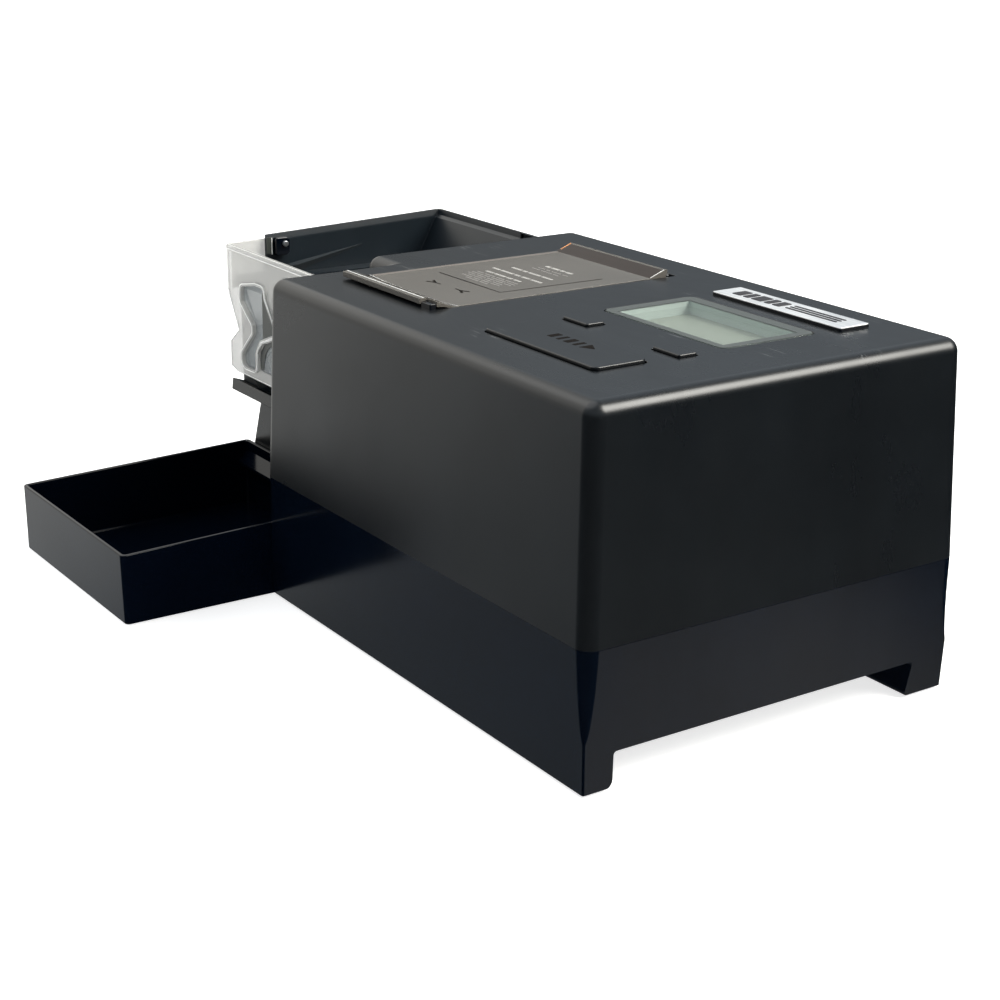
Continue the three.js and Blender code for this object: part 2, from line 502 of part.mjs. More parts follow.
add('tube_bin', tubeBin(), INNER_BLACK);
add('hopper_front', hopperFront(), CLEAR);
add('hopper_bracket', box(BIN.x0 + BIN.wall + GAP, BIN.x0 + BIN.wall + 3, 52, 63, 69, 80), INNER_BLACK);
add('hopper_screw', bar('x', 57.5, 74.5, 2.4, BIN.x0 + BIN.wall + 3.3, BIN.x0 + BIN.wall + 5, 14), STEEL);
add('tube_channel', tubeChannel(), INNER_BLACK);
add('feed_drum', feedDrum(), GEAR_WHITE);
add('drum_shaft', bar('y', DRUM.x, DRUM.z, 2.5, DRUM.front - 1, 128, 16), STEEL);
add('drum_motor', join(bar('y', DRUM.x, DRUM.z, 9, 131, 152), bar('y', DRUM.x, DRUM.z, 3, 128.4, 132, 14)),
  STEEL);

// ---------------------------------------------------------------- feeder housing and chute
function feederHousing() {
  const { left, top, right, front, back, deck } = FEEDER;
  const low = FLOOR + 0.1;
  const side = polygon([[top, deck], [left, -22], [left, low], [right, low], [right, deck]]);
  const hollow = polygon([[top + 2.5, deck - 2.4], [left + 2.5, -22.5], [left + 2.5, low - 1],
    [right - 2.5, low - 1], [right - 2.5, deck - 2.4]]);
  const chuteWindow = box(-60, -26, front - 1, front + 4, -17, -1);
  const dropSlot = box(-53, -27, front + 3.5, 130, deck - 4, deck + 1);
  const rearWell = box(-90, right - 2.5, 126, back - 2.5, deck - 4, deck + 1);
  const shaftHole = bar('x', INJECTOR.axisY, INJECTOR.axisZ, 4.2, right - 4, right + 2);
  return cut(pushed(side, 'y', front, back), pushed(hollow, 'y', front + 2.5, back - 2.5),
    chuteWindow, dropSlot, rearWell, shaftHole);
}

function ejectChute() {
  const ramp = (lift) => polygon([[FEEDER.front + 2.8, -18.4 + lift], [120.5, -6.2 + lift], [120.5, -8.2],
    [FEEDER.front + 2.8, -20.4]]);
  return join(pushed(ramp(0), 'x', -62, -23.8), pushed(ramp(4), 'x', -62, -60.4));
}

function tubeShelf() {
  const profile = polygon([[33.2, 10.6], [46.8, 8.2], [121, 8.2], [121, 11.4], [47, 11.4], [33.8, 16.2]]);
  const dropSlot = box(-53, -27, 48, 130, 0, 20);
  return cut(pushed(profile, 'x', BIN.x0 + 0.6, BIN.notchX - 19.4), dropSlot,
    box(-96.5, -71.5, 38, 124.6, 11.7, 30));
}

add('feeder_housing', feederHousing(), SATIN_BLACK);
add('eject_chute', ejectChute(), INNER_BLACK);
add('tube_shelf', tubeShelf(), SATIN_BLACK);
add('shelf_bracket', box(-90, -62, 52, 110, FEEDER.deck + GAP, 7.9), INNER_BLACK);

// ---------------------------------------------------------------- injector
const rackPitch = INJECTOR.axisZ + RACK_PINION.teeth * MODULE_SIZE / 2 + MESH_CLEARANCE;

function rackTeeth(from, to) {
  const step = Math.PI * MODULE_SIZE;
  const points = [[from, rackPitch + 5], [from, rackPitch + 1.6]];
  const first = Math.ceil((from + 1 - INJECTOR.axisY) / step - 0.5);
  const last = Math.floor((to - 1 - INJECTOR.axisY) / step - 0.5);
  for (let i = first; i <= last; i++) {
    const middle = INJECTOR.axisY + (i + 0.5) * step;
    points.push([middle - 0.26 * step, rackPitch + 1.6], [middle - 0.12 * step, rackPitch - 0.95],
      [middle + 0.12 * step, rackPitch - 0.95], [middle + 0.26 * step, rackPitch + 1.6]);
  }
  points.push([to, rackPitch + 1.6], [to, rackPitch + 5]);
  return pushed(polygon(points), 'x', RACK_PINION.x0 + 0.5, RACK_PINION.x1 - 0.5);
}

function injectorCarriage() {
  const block = box(-46, -24, 160.5, 172, 4.5, 24);
  const rodBores = GUIDE_RODS.at.map((x) => bar('y', x, GUIDE_RODS.z, GUIDE_RODS.radius + GAP, 159, 174));
  return cut(join(block, rackTeeth(127.6, 172)), ...rodBores,
    bar('y', INJECTOR.x, INJECTOR.z, 2.7, 159, 164));
}

function nozzlePlate() {
  const hold = box(-49, -23.8, 124.6, 127, 8.8, 26);
  const rodSeats = GUIDE_RODS.at.map((x) => bar('y', x, GUIDE_RODS.z, GUIDE_RODS.radius + GAP, 124, 128));
  return cut(hold, bar('y', INJECTOR.x, INJECTOR.z, 4.2, 124, 128), ...rodSeats);
}

add('injector_carriage', injectorCarriage(), INNER_BLACK);
add('injector_spoon', cut(bar('y', INJECTOR.x, INJECTOR.z, 2.4, 129.5, 163.6, 16),
  box(INJECTOR.x - 3, INJECTOR.x + 3, 129, 160, INJECTOR.z + 0.4, INJECTOR.z + 4)), STEEL);
add('nozzle', cut(bar('y', INJECTOR.x, INJECTOR.z, 3.9, 112, 127.6),
  bar('y', INJECTOR.x, INJECTOR.z, 3.2, 111, 129)), STEEL);
add('nozzle_plate', nozzlePlate(), STEEL);
GUIDE_RODS.at.forEach((x, i) =>
  add(`guide_rod_${i + 1}`, bar('y', x, GUIDE_RODS.z, GUIDE_RODS.radius, 124.9, 173.2, 16), STEEL));

function mainShaft() {
  const { axisY, axisZ } = INJECTOR;
  return bar('x', axisY, axisZ, 3, RACK_PINION.x0 - 2, MAIN_GEAR.x1 + 6);
}
const gearBore = (x0, x1) => bar('x', INJECTOR.axisY, INJECTOR.axisZ, 3 + GAP, x0 - 1, x1 + 1);
const motorY = INJECTOR.axisY - (MAIN_GEAR.teeth + MOTOR_PINION.teeth) * MODULE_SIZE / 2 - MESH_CLEARANCE;

add('drive_shaft', mainShaft(), STEEL);
add('drive_gear', cut(gear('x', INJECTOR.axisY, INJECTOR.axisZ, MAIN_GEAR.teeth, MAIN_GEAR.x0, MAIN_GEAR.x1),
  gearBore(MAIN_GEAR.x0, MAIN_GEAR.x1)), GEAR_WHITE);
add('rack_pinion', cut(gear('x', INJECTOR.axisY, INJECTOR.axisZ, RACK_PINION.teeth, RACK_PINION.x0,
  RACK_PINION.x1, Math.PI / 2), gearBore(RACK_PINION.x0, RACK_PINION.x1)), BRASS);
add('motor_pinion', gear('x', motorY, INJECTOR.axisZ, MOTOR_PINION.teeth, MAIN_GEAR.x0, MAIN_GEAR.x1,
  Math.PI / MOTOR_PINION.teeth), BRASS);
add('drive_motor', join(bar('x', motorY, INJECTOR.axisZ, 15, 26, 74, 28),
  bar('x', motorY, INJECTOR.axisZ, 5, 21.5, 27, 16), bar('x', motorY, INJECTOR.axisZ, 1.6, 19.4, 22, 10),
  box(30, 70, motorY - 12, motorY + 12, TUNNEL.top + WALL + GAP, INJECTOR.axisZ - 5)), STEEL);

function injectorCover() {
  const { x0, x1, y0, y1, top } = INJECTOR_COVER;
  return cut(roundedBox(x0, x1, y0, y1, FEEDER.deck + GAP, top, 3),
    box(x0 + 2, x1 - 2, y0 - 5, y1 - 2, 0, top - 2));
}
add('injector_cover', injectorCover(), SATIN_BLACK);

// ---------------------------------------------------------------- catch tray
function catchTray() {
  const { x0, x1, y0, y1, frontHeight, backHeight, wall } = TRAY;
  const rim = (p) => FLOOR + frontHeight + (p.y - y0) / (y1 - y0) * (backHeight - frontHeight);
  const flare = 0.2, follow = 0.7; // the right side follows the slope of the base beside it
  const plan = (inset, low) => rectangle(x0 + inset + flare * low, x1 - inset + follow * low,
    y0 + inset + flare * low, y1 - inset - flare * low);
  const outside = loft([section(plan(0, 1), 2, FLOOR), section(plan(0, 0), 2.2, rim)]);
  const inside = loft([section(plan(wall, 1), 1.4, FLOOR + 2), section(plan(wall, 0), 1.4, rim),
    section(plan(wall, 0), 1.4, 9)]);
  const { top, reach, thick } = TRAY_SLIDE;
  const back = y1 - wall + 0.5;
  const slide = pushed(polygon([[back, top], [back - reach, top - reach], [back - reach, top - reach - thick],
    [back, top - thick - 0.6]].reverse()), 'x', x0 + wall - 0.4, x1 - wall + 0.4);
  return join(cut(outside, inside), slide);
}
add('catch_tray', catchTray(), GLOSS_BLACK);

// ---------------------------------------------------------------- power
// A socket block behind a flange that stops it from inside the wall.
function powerInlet() {
  const { x, z, radius } = INLET;
  const block = box(x - 6.6, x + 6.6, DEPTH - 14, DEPTH - 0.6, z - 5.6, z + 5.6);
  const flange = box(x - 8.5, x + 8.5, DEPTH - 14, DEPTH - 5, z - 7.5, z + 7.5);
  return cut(join(block, flange), bar('y', x, z, radius, DEPTH - 11, DEPTH + 1));
}

function powerSwitch() {
  const { x0, x1, z0, z1, flange } = SWITCH;
  const block = box(x0 + 0.4, x1 - 0.4, DEPTH - 18, DEPTH - 0.6, z0 + 0.4, z1 - 0.4);
  const stop = box(x0 - flange, x1 + flange, DEPTH - 18, DEPTH - 5, z0 - flange, z1 + flange);
  return cut(join(block, stop), box(x0 + 2.2, x1 - 2.2, DEPTH - 9, DEPTH + 1, z0 + 2.2, z1 - 2.2));
}

add('power_inlet', powerInlet(), INNER_BLACK);
add('power_switch', powerSwitch(), INNER_BLACK);

function rocker() {
  const y = DEPTH - 3;
  const face = polygon([[y - 3.5, -15.8], [y + 0.6, -21.8], [y + 2.4, -21.2], [y + 1.4, -15], [y + 1.2, -8.8],
    [y - 0.6, -8.2], [y - 3.5, -14.2]]);
  return pushed(face, 'x', 202.8, 212.2);
}
add('power_rocker', rocker(), GLOSS_BLACK);

export default group;
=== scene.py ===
"""Looks for the electric tube filling machine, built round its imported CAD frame."""

import json
import math

import bpy  # noqa: E402
import bmesh  # noqa: E402
from mathutils import Matrix, Vector  # noqa: E402


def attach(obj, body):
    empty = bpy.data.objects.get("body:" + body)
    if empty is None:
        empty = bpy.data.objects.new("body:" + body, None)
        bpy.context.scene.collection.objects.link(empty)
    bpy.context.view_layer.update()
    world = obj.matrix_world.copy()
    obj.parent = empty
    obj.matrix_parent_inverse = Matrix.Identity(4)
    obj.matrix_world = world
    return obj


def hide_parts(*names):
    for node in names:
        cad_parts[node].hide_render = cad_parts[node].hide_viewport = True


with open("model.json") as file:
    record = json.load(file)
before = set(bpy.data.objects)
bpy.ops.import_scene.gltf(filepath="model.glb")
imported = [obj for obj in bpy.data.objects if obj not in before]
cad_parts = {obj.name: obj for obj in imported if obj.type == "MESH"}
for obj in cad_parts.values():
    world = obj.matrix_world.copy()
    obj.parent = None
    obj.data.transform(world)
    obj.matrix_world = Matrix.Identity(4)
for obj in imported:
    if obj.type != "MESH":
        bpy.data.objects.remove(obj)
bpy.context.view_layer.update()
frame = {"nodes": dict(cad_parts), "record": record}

# Shapes are drawn in millimetres from the seam's front left corner, and moved by ORIGIN into the row frame
# when they are placed.
ORIGIN = Vector((-60.5, -55.25, 56.0))
WIDTH, DEPTH, COVER_TOP, TABLE = 236.0, 179.0, 87.0, -56.0
PLAN = [(0, 0), (WIDTH, 0), (WIDTH, DEPTH), (-20, DEPTH), (-20, 58.5), (0, 58.5)]
COVER_DRAFT = math.tan(math.radians(1.85))
BASE_DRAFT = math.tan(math.radians(1.5))
FILLET = 5.8
CORNER = 6.2
START = (129, 199, 28.7, 52.3)
KEYS = {"left_key": (128.8, 144.8, 65.2, 73.8), "right_key": (184.8, 200.4, 65.2, 73.8)}
LENS = (124.4, 198.8, 87.2, 133.4)
WINDOW = (130.0, 194.2, 91.0, 127.4)
PLATE = (126.5, 202, 142, 157.3)
LID = {"left": 20.7, "right": 89.6, "lip": 29.0, "front": 40.5, "back": 139.0, "top": 87.2}
RECESS, RECESS_FLOOR = (20.3, 90.0, 35.4, 152.7), 85.4
HINGE_Y, HINGE_Z, HINGE_R = 148.2, 87.9, 1.6
TRAY = (-115.0, 0.3, -68.5, 49.2)
COVER_FOOT, BASE_TOP = -0.12, -0.16        # the two edges at the seam
ARCH_NEAR, ARCH_FAR, ARCH_SPRING = 14.4, 160.4, -42.2
NEAR_FOOT, FAR_FOOT = 11.0, 159.5          # the skids' inner ends
SCREEN_BACK, SCREEN_TOP = 79.0, 81.6
BORDER = (COVER_TOP + 0.02, COVER_TOP + 0.14)
PLATE_SPLIT, PLATE_TOP = COVER_TOP + 1.15, COVER_TOP + 1.5
KEY_TOP = COVER_TOP + 1.2
CAP_TOP = {"start_button": COVER_TOP + 1.3, "left_key": KEY_TOP, "right_key": KEY_TOP}
SCUFFS_FROM = 0.1415                       # metres above the table: only the cover's top is scuffed
FLOOR_GLOW = 0.75
SOFTBOX, PALE_WALL, TABLE_BOUNCE = (43.3, 43), (-100, 10), (47.5, -29)   # azimuth and elevation


# ---------------------------------------------------------------- outlines and solids
def rect(x0, x1, y0, y1):
    return [(x0, y0), (x1, y0), (x1, y1), (x0, y1)]


def grown(corners, by):
    """The outline, given counterclockwise, with every side moved outwards."""
    points = [Vector(c) for c in corners]
    out = []
    for i, here in enumerate(points):
        one = (here - points[i - 1]).normalized()
        two = (points[(i + 1) % len(points)] - here).normalized()
        n1, n2 = Vector((one.y, -one.x)), Vector((two.y, -two.x))
        det = n1.x * n2.y - n1.y * n2.x
        move = n1 if abs(det) < 1e-6 else Vector(((n2.y - n1.y) / det, (n1.x - n2.x) / det))
        out.append(here + move * by)
    return out


def ring(corners, radius, grow=0.0, steps=8):
    """Points round an outline whose corners are arcs. Every corner gives steps + 1 points."""
    points = grown(corners, grow)
    out = []
    for i, here in enumerate(points):
        back, ahead = points[i - 1] - here, points[(i + 1) % len(points)] - here
        reach = 0.49 * min(back.length, ahead.length)
        back.normalize()
        ahead.normalize()
        half = back.angle(ahead) / 2
        along = min(max(radius, 0.02) / math.tan(half), reach)
        r = along * math.tan(half)
        centre = here + (back + ahead).normalized() * (r / math.sin(half))
        a = math.atan2(*reversed(here + back * along - centre))
        b = math.atan2(*reversed(here + ahead * along - centre))
        turn = (b - a + math.pi) % (2 * math.pi) - math.pi
        out += [centre + r * Vector((math.cos(a + turn * k / steps), math.sin(a + turn * k / steps)))
                for k in range(steps + 1)]
    return out


AXES = {"z": lambda u, v, w: (u, v, w), "x": lambda u, v, w: (w, u, v), "y": lambda u, v, w: (u, w, v)}


def new_object(name, bm):
    bmesh.ops.recalc_face_normals(bm, faces=bm.faces)
    mesh = bpy.data.meshes.new(name)
    bm.to_mesh(mesh)
    bm.free()
    obj = bpy.data.objects.new(name, mesh)
    bpy.context.scene.collection.objects.link(obj)
    return obj


def loft(name, rings, axis="z"):
    """A closed skin through rings (points, height), the height a number or a function of the point."""
    bm = bmesh.new()
    rows = []
    for points, height in rings:
        rise = height if callable(height) else (lambda u, v, h=height: h)
        rows.append([bm.verts.new(AXES[axis](p[0], p[1], rise(p[0], p[1]))) for p in points])
    count = len(rows[0])
    for low, high in zip(rows, rows[1:]):
        for i in range(count):
            bm.faces.new((low[i], low[(i + 1) % count], high[(i + 1) % count], high[i]))
    bm.faces.new(rows[0][::-1])
    bm.faces.new(rows[-1])
    return new_object(name, bm)


def rounded_edge(radius, steps=4):
    """(inset, depth below the edge) along a quarter round, from the side to the top."""
    turns = [k / steps * math.pi / 2 for k in range(steps + 1)]
    return [(radius * (1 - math.cos(t)), radius * (1 - math.sin(t))) for t in turns]


def slab(name, corners, low, high, radius=0.5, edge=0.3, axis="z", bottom_edge=0.0, steps=8, edge_steps=4):
    """A prism with rounded upright corners and rounded top and bottom edges."""
    rings = []
    for inset, depth in reversed(rounded_edge(bottom_edge, edge_steps) if bottom_edge else [(0, 0)]):
        rings.append((ring(corners, max(radius - inset, 0.05), -inset, steps), low + depth))
    for inset, depth in rounded_edge(edge, edge_steps) if edge else [(0, 0)]:
        rings.append((ring(corners, max(radius - inset, 0.05), -inset, steps), high - depth))
    return loft(name, rings, axis)


def well(corners, radius, low, top, rim):
    """A cutter for an opening whose rim is rounded over."""
    rings = [(ring(corners, radius), low)]
    for inset, depth in rounded_edge(rim):
        rings.append((ring(corners, radius + inset, inset), top - depth))
    rings.append((ring(corners, radius + rim, rim), top + 9))
    return loft("cutter", rings)


def tube(name, along, a, b, radius, start, end, sides=32, edge=0.0):
    """A round bar with rounded ends; (a, b) is its centre in the two other axes, in X, Y, Z order."""
    rounding = rounded_edge(edge, 3) if edge else [(0, 0)]
    steps = [(inset, start + depth) for inset, depth in reversed(rounding)]
    steps += [(inset, end - depth) for inset, depth in rounding]
    turns = [2 * math.pi * k / sides for k in range(sides)]
    rings = [([(a + (radius - i) * math.cos(t), b + (radius - i) * math.sin(t)) for t in turns], w)
             for i, w in steps]
    return loft(name, rings, along)


def joined(name, *objects):
    """One object that holds all these meshes."""
    bm = bmesh.new()
    for o in objects:
        bm.from_mesh(o.data)
        bpy.data.objects.remove(o)
    mesh = bpy.data.meshes.new(name)
    bm.to_mesh(mesh)
    bm.free()
    obj = bpy.data.objects.new(name, mesh)
    bpy.context.scene.collection.objects.link(obj)
    return obj


def combined(obj, *others, how="DIFFERENCE"):
    """obj with the others cut away from it or joined to it, as a real solid."""
    for other in others:
        step = obj.modifiers.new("combine", "BOOLEAN")
        step.operation = how
        step.solver = "EXACT"
        step.object = other
    bpy.context.view_layer.update()
    made = bpy.data.meshes.new_from_object(obj.evaluated_get(bpy.context.evaluated_depsgraph_get()))
    obj.modifiers.clear()
    obj.data = made
    for other in others:
        bpy.data.objects.remove(other)
    return obj


def box(x0, x1, y0, y1, z0, z1):
    return slab("box", rect(x0, x1, y0, y1), z0, z1, radius=0.02, edge=0, steps=1)


def place(obj, name, body, material, slot, *replaced, sharp=32):
    """Puts a finished shape in the row frame, smooths it and hangs it on its body."""
    obj.name = name
    obj.data.name = name
    obj.data.transform(Matrix.Scale(0.001, 4) @ Matrix.Translation(ORIGIN))
    bm = bmesh.new()
    bm.from_mesh(obj.data)
    bmesh.ops.remove_doubles(bm, verts=bm.verts, dist=2e-6)
    for face in bm.faces:
        face.smooth = True
        face.material_index = 0
    for edge in bm.edges:
        edge.smooth = edge.calc_face_angle(0) < math.radians(sharp)
    bm.to_mesh(obj.data)
    bm.free()
    normals = obj.modifiers.new("normals", "WEIGHTED_NORMAL")
    normals.keep_sharp = True
    obj.data.materials.clear()
    obj.data.materials.append(material)
    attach(obj, body)
    if replaced:
        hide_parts(*replaced)
    return obj


# ---------------------------------------------------------------- materials
class Nodes:
    """A material's node tree with short ways to make and link nodes."""

    def __init__(self, name):
        self.material = bpy.data.materials.new(name)
        self.material.use_nodes = True
        self.tree = self.material.node_tree
        self.shader = self.tree.nodes["Principled BSDF"]
        self.place = self.make("ShaderNodeTexCoord").outputs["Object"]

    def make(self, kind, **settings):
        node = self.tree.nodes.new(kind)
        for key, value in settings.items():
            setattr(node, key, value)
        return node

    def link(self, source, target):
        self.tree.links.new(source, target)

    def stretched(self, scale):
        node = self.make("ShaderNodeMapping")
        node.inputs["Scale"].default_value = scale
        self.link(self.place, node.inputs["Vector"])
        return node.outputs["Vector"]

    def noise(self, scale, detail=3.0, roughness=0.55, vector=None, distortion=0.0):
        node = self.make("ShaderNodeTexNoise")
        node.inputs["Scale"].default_value = scale
        node.inputs["Detail"].default_value = detail
        node.inputs["Roughness"].default_value = roughness
        node.inputs["Distortion"].default_value = distortion
        self.link(vector or self.place, node.inputs["Vector"])
        return node.outputs["Fac"]

    def ramp(self, value, low, high, from_low=0.3, from_high=0.7):
        node = self.make("ShaderNodeMapRange")
        node.inputs["From Min"].default_value = from_low
        node.inputs["From Max"].default_value = from_high
        node.inputs["To Min"].default_value = low
        node.inputs["To Max"].default_value = high
        self.link(value, node.inputs["Value"])
        return node.outputs["Result"]

    def product(self, one, two):
        node = self.make("ShaderNodeMath", operation="MULTIPLY")
        self.link(one, node.inputs[0])
        self.link(two, node.inputs[1])
        return node.outputs["Value"]

    def above(self, level):
        """1 on the parts of a mesh above this height, 0 below it."""
        parts = self.make("ShaderNodeSeparateXYZ")
        self.link(self.place, parts.inputs["Vector"])
        return self.ramp(parts.outputs["Z"], 0, 1, level - 0.001, level)

    def mixed(self, factor, one, two):
        node = self.make("ShaderNodeMix", data_type="RGBA")
        self.link(factor, node.inputs["Factor"])
        for socket, color in ((node.inputs["A"], one), (node.inputs["B"], two)):
            if hasattr(color, "links"):
                self.link(color, socket)
            else:
                socket.default_value = (*color, 1.0)
        return node.outputs["Result"]

    def bump(self, height, strength, distance, onto=None):
        node = self.make("ShaderNodeBump")
        node.inputs["Strength"].default_value = strength
        node.inputs["Distance"].default_value = distance
        self.link(height, node.inputs["Height"])
        if onto is not None:
            self.link(onto, node.inputs["Normal"])
        return node.outputs["Normal"]


def shade(color, by):
    return tuple(min(c * by, 1.0) for c in color)


def plastic(name, color, roughness, grain=0.25, grain_size=0.5, wave=0.0, mottle=0.18, smudge=0.05,
            specular=0.5, dust=0.0, scuffs=0.0, alpha=None):
    """Moulded plastic: spark-eroded grain, faint handling marks, scuffs and a slow waviness."""
    n = Nodes(name)
    cloud = n.noise(22, 4)
    color_out = n.mixed(n.ramp(cloud, 0, 1), shade(color, 1 - mottle), shade(color, 1 + mottle))
    if dust:
        specks = n.ramp(n.noise(900, 2, 0.7), 0, dust, 0.70, 0.78)
        color_out = n.mixed(specks, color_out, (0.20, 0.20, 0.19))
    if scuffs:
        lines = n.ramp(n.noise(1, 1, 0.5, n.stretched((55, 900, 900))), 0, scuffs, 0.66, 0.72)
        patches = n.product(n.ramp(n.noise(30, 1), 0, 1, 0.60, 0.68), n.above(SCUFFS_FROM))
        color_out = n.mixed(n.product(lines, patches), color_out, (0.30, 0.31, 0.31))
    n.link(color_out, n.shader.inputs["Base Color"])
    smears = n.noise(9, 5, 0.6, n.stretched((1.0, 2.5, 1.0)), 0.6)
    n.link(n.ramp(smears, roughness - smudge, roughness + smudge), n.shader.inputs["Roughness"])
    normal = n.bump(n.noise(1000 / grain_size, 2, 0.5), grain, 0.00004)
    if wave:
        normal = n.bump(n.noise(14, 1), wave, 0.0006, normal)
    n.link(normal, n.shader.inputs["Normal"])
    n.shader.inputs["Specular IOR Level"].default_value = specular
    if alpha is not None:
        n.shader.inputs["Alpha"].default_value = alpha
    return n.material


def metal(name, color, roughness, along):
    """Metal with fine lines from its finishing and slow changes in polish."""
    n = Nodes(name)
    scale = {"x": (12, 900, 900), "y": (900, 12, 900), "z": (900, 900, 12)}[along]
    lines = n.noise(1, 3, 0.6, n.stretched(scale))
    streaks = n.mixed(n.ramp(lines, 0, 1), shade(color, 0.86), shade(color, 1.08))
    n.link(streaks, n.shader.inputs["Base Color"])
    n.link(n.ramp(n.noise(40, 4), roughness - 0.08, roughness + 0.08), n.shader.inputs["Roughness"])
    n.link(n.bump(lines, 0.25, 0.00003), n.shader.inputs["Normal"])
    n.shader.inputs["Metallic"].default_value = 1.0
    return n.material


MATERIALS = {
    "satin_black": plastic("satin_black", (0.0042, 0.0055, 0.0070), 0.30, grain=0.30, grain_size=0.45,
                           dust=0.03, scuffs=0.35),
    "gloss_black": plastic("gloss_black", (0.0009, 0.0023, 0.0056), 0.14, grain=0.05, smudge=0.03,
                           dust=0.04),
    "tray_black": plastic("tray_black", (0.0010, 0.0025, 0.0064), 0.14, grain=0.05, smudge=0.03,
                          specular=0.20, dust=0.04),
    "inner_black": plastic("inner_black", (0.0085, 0.0135, 0.0185), 0.36, grain=0.25, dust=0.06),
    "smoked": plastic("smoked", (0.150, 0.138, 0.122), 0.17, grain=0.08, wave=0.04, mottle=0.08,
                      alpha=0.92),
    # painted shade: a darker copy of the smoked lid, laid over the ramp up to the hinge
    "smoked_ramp_painted_shade": plastic("smoked_ramp_painted_shade", (0.030, 0.020, 0.015), 0.38, grain=0.08, mottle=0.15,
                           specular=0.3),
    # painted highlight: the orange glint drawn at the left end of the lid's ramp
    "painted_glint_amber": plastic("painted_glint_amber", (0.75, 0.30, 0.10), 0.25, grain=0.05, mottle=0.05),
    # painted highlight: near-white for the bright lines drawn on the lid where its edges catch the light
    "painted_highlight": plastic("painted_highlight", (0.80, 0.80, 0.78), 0.30, grain=0.05, mottle=0.05),
    "clear": plastic("clear", (0.60, 0.595, 0.575), 0.24, grain=0.15, wave=0.10, mottle=0.04, alpha=0.62),
    # painted highlight: white for the bright lines along the edges of the clear hopper front
    "clear_edge_highlight": plastic("clear_edge_highlight", (0.92, 0.92, 0.90), 0.25, grain=0.10, mottle=0.03),
    "window": plastic("window", (0.37, 0.40, 0.41), 0.12, grain=0.05, wave=0.15, mottle=0.05, alpha=0.45),
    "lens": plastic("lens", (0.45, 0.50, 0.48), 0.10, grain=0.05, mottle=0.03, alpha=0.12),
    "bezel": plastic("bezel", (0.080, 0.090, 0.086), 0.45, grain=0.2, mottle=0.05),
    "screen": plastic("screen", (0.245, 0.280, 0.230), 0.32, grain=0.05, mottle=0.05, smudge=0.03,
                      specular=0.3),
    "screen_wall": plastic("screen_wall", (0.50, 0.59, 0.55), 0.35, grain=0.05, mottle=0.05, specular=0.3),
    "silver": metal("silver", (0.98, 0.99, 0.99), 0.52, "x"),
    "silver_dark": plastic("silver_dark", (0.045, 0.045, 0.050), 0.6, grain=0.1, specular=0.2),
    "print": plastic("print", (0.50, 0.49, 0.47), 0.55, grain=0.1, mottle=0.10),
    "print_faint": plastic("print_faint", (0.28, 0.27, 0.26), 0.55, grain=0.1, mottle=0.10),
    # painted highlight: a lighter copy of the lid's colour for the strip along its left edge
    "edge_highlight_tint": plastic("edge_highlight_tint", (0.19, 0.165, 0.145), 0.3, grain=0.08, mottle=0.10),
    # a flat dark colour: the hopper flap, and the painted shade seen through the hopper's windows
    "dim": plastic("dim", (0.050, 0.055, 0.050), 0.35, grain=0.1, mottle=0.10),
    "print_dark": plastic("print_dark", (0.012, 0.010, 0.009), 0.8, grain=0.1, specular=0.05),
    "steel": metal("steel", (0.46, 0.47, 0.48), 0.30, "y"),
    "brass": metal("brass", (0.62, 0.45, 0.18), 0.32, "x"),
    "gear_white": plastic("gear_white", (0.66, 0.65, 0.60), 0.42, grain=0.2, mottle=0.05),
    "board": plastic("board", (0.02, 0.12, 0.05), 0.35, grain=0.3, mottle=0.25),
    "rubber": plastic("rubber", (0.018, 0.018, 0.018), 0.75, grain=0.5, grain_size=0.8, mottle=0.25,
                      dust=0.2),
}


# ---------------------------------------------------------------- housing
def cover():
    rings = [(ring(PLAN, CORNER), COVER_FOOT)]
    side = COVER_TOP - FILLET
    drawn = COVER_DRAFT * side
    for k in range(13):
        turn = k / 12 * math.pi / 2
        inset = FILLET * (1 - math.cos(turn))
        rings.append((ring(PLAN, max(CORNER - inset, 1.2), -drawn - inset), side + FILLET * math.sin(turn)))
    body = loft("cover", rings)
    inside = loft("cutter", [(ring(PLAN, 4.5, -2.5), -1), (ring(PLAN, 4.5, -5.1), 80),
                             (ring(PLAN, 3.5, -7.5), 84.5)])
    wells = [well(rect(26, 86, 46, 132), 3, 80, RECESS_FLOOR, 0.3),
             well(rect(*RECESS), 0.8, RECESS_FLOOR, COVER_TOP, 0.25),
             well(grown(rect(*START), 0.7), 3.0, 80, COVER_TOP, 0.25),
             well(grown(rect(*LENS), 0.3), 4.1, 80, COVER_TOP, 0.3)]
    wells += [well(grown(rect(*key), 0.6), 1.5, 80, COVER_TOP, 0.25) for key in KEYS.values()]
    body = combined(body, inside, *wells)
    knuckles = [tube("knuckle", "x", HINGE_Y, HINGE_Z, HINGE_R, x, x + 5, 24, 0.2) for x in (30, 80)]
    knuckles += [box(x, x + 5, HINGE_Y - 1.5, HINGE_Y + 1.4, RECESS_FLOOR - 0.4, HINGE_Z) for x in (30, 80)]
    posts = [tube("post", "z", x, y, 4.5, 0.5, 85, 24) for x, y in
             [(12, 12), (WIDTH - 12, 12), (WIDTH - 12, DEPTH - 12), (-8, DEPTH - 12)]]
    rim_end = box(-23.5, -11.0, 149.8, 151.8, 84.0, COVER_TOP + 0.1)
    return joined("top_cover_shell", body, rim_end, *knuckles, *posts)


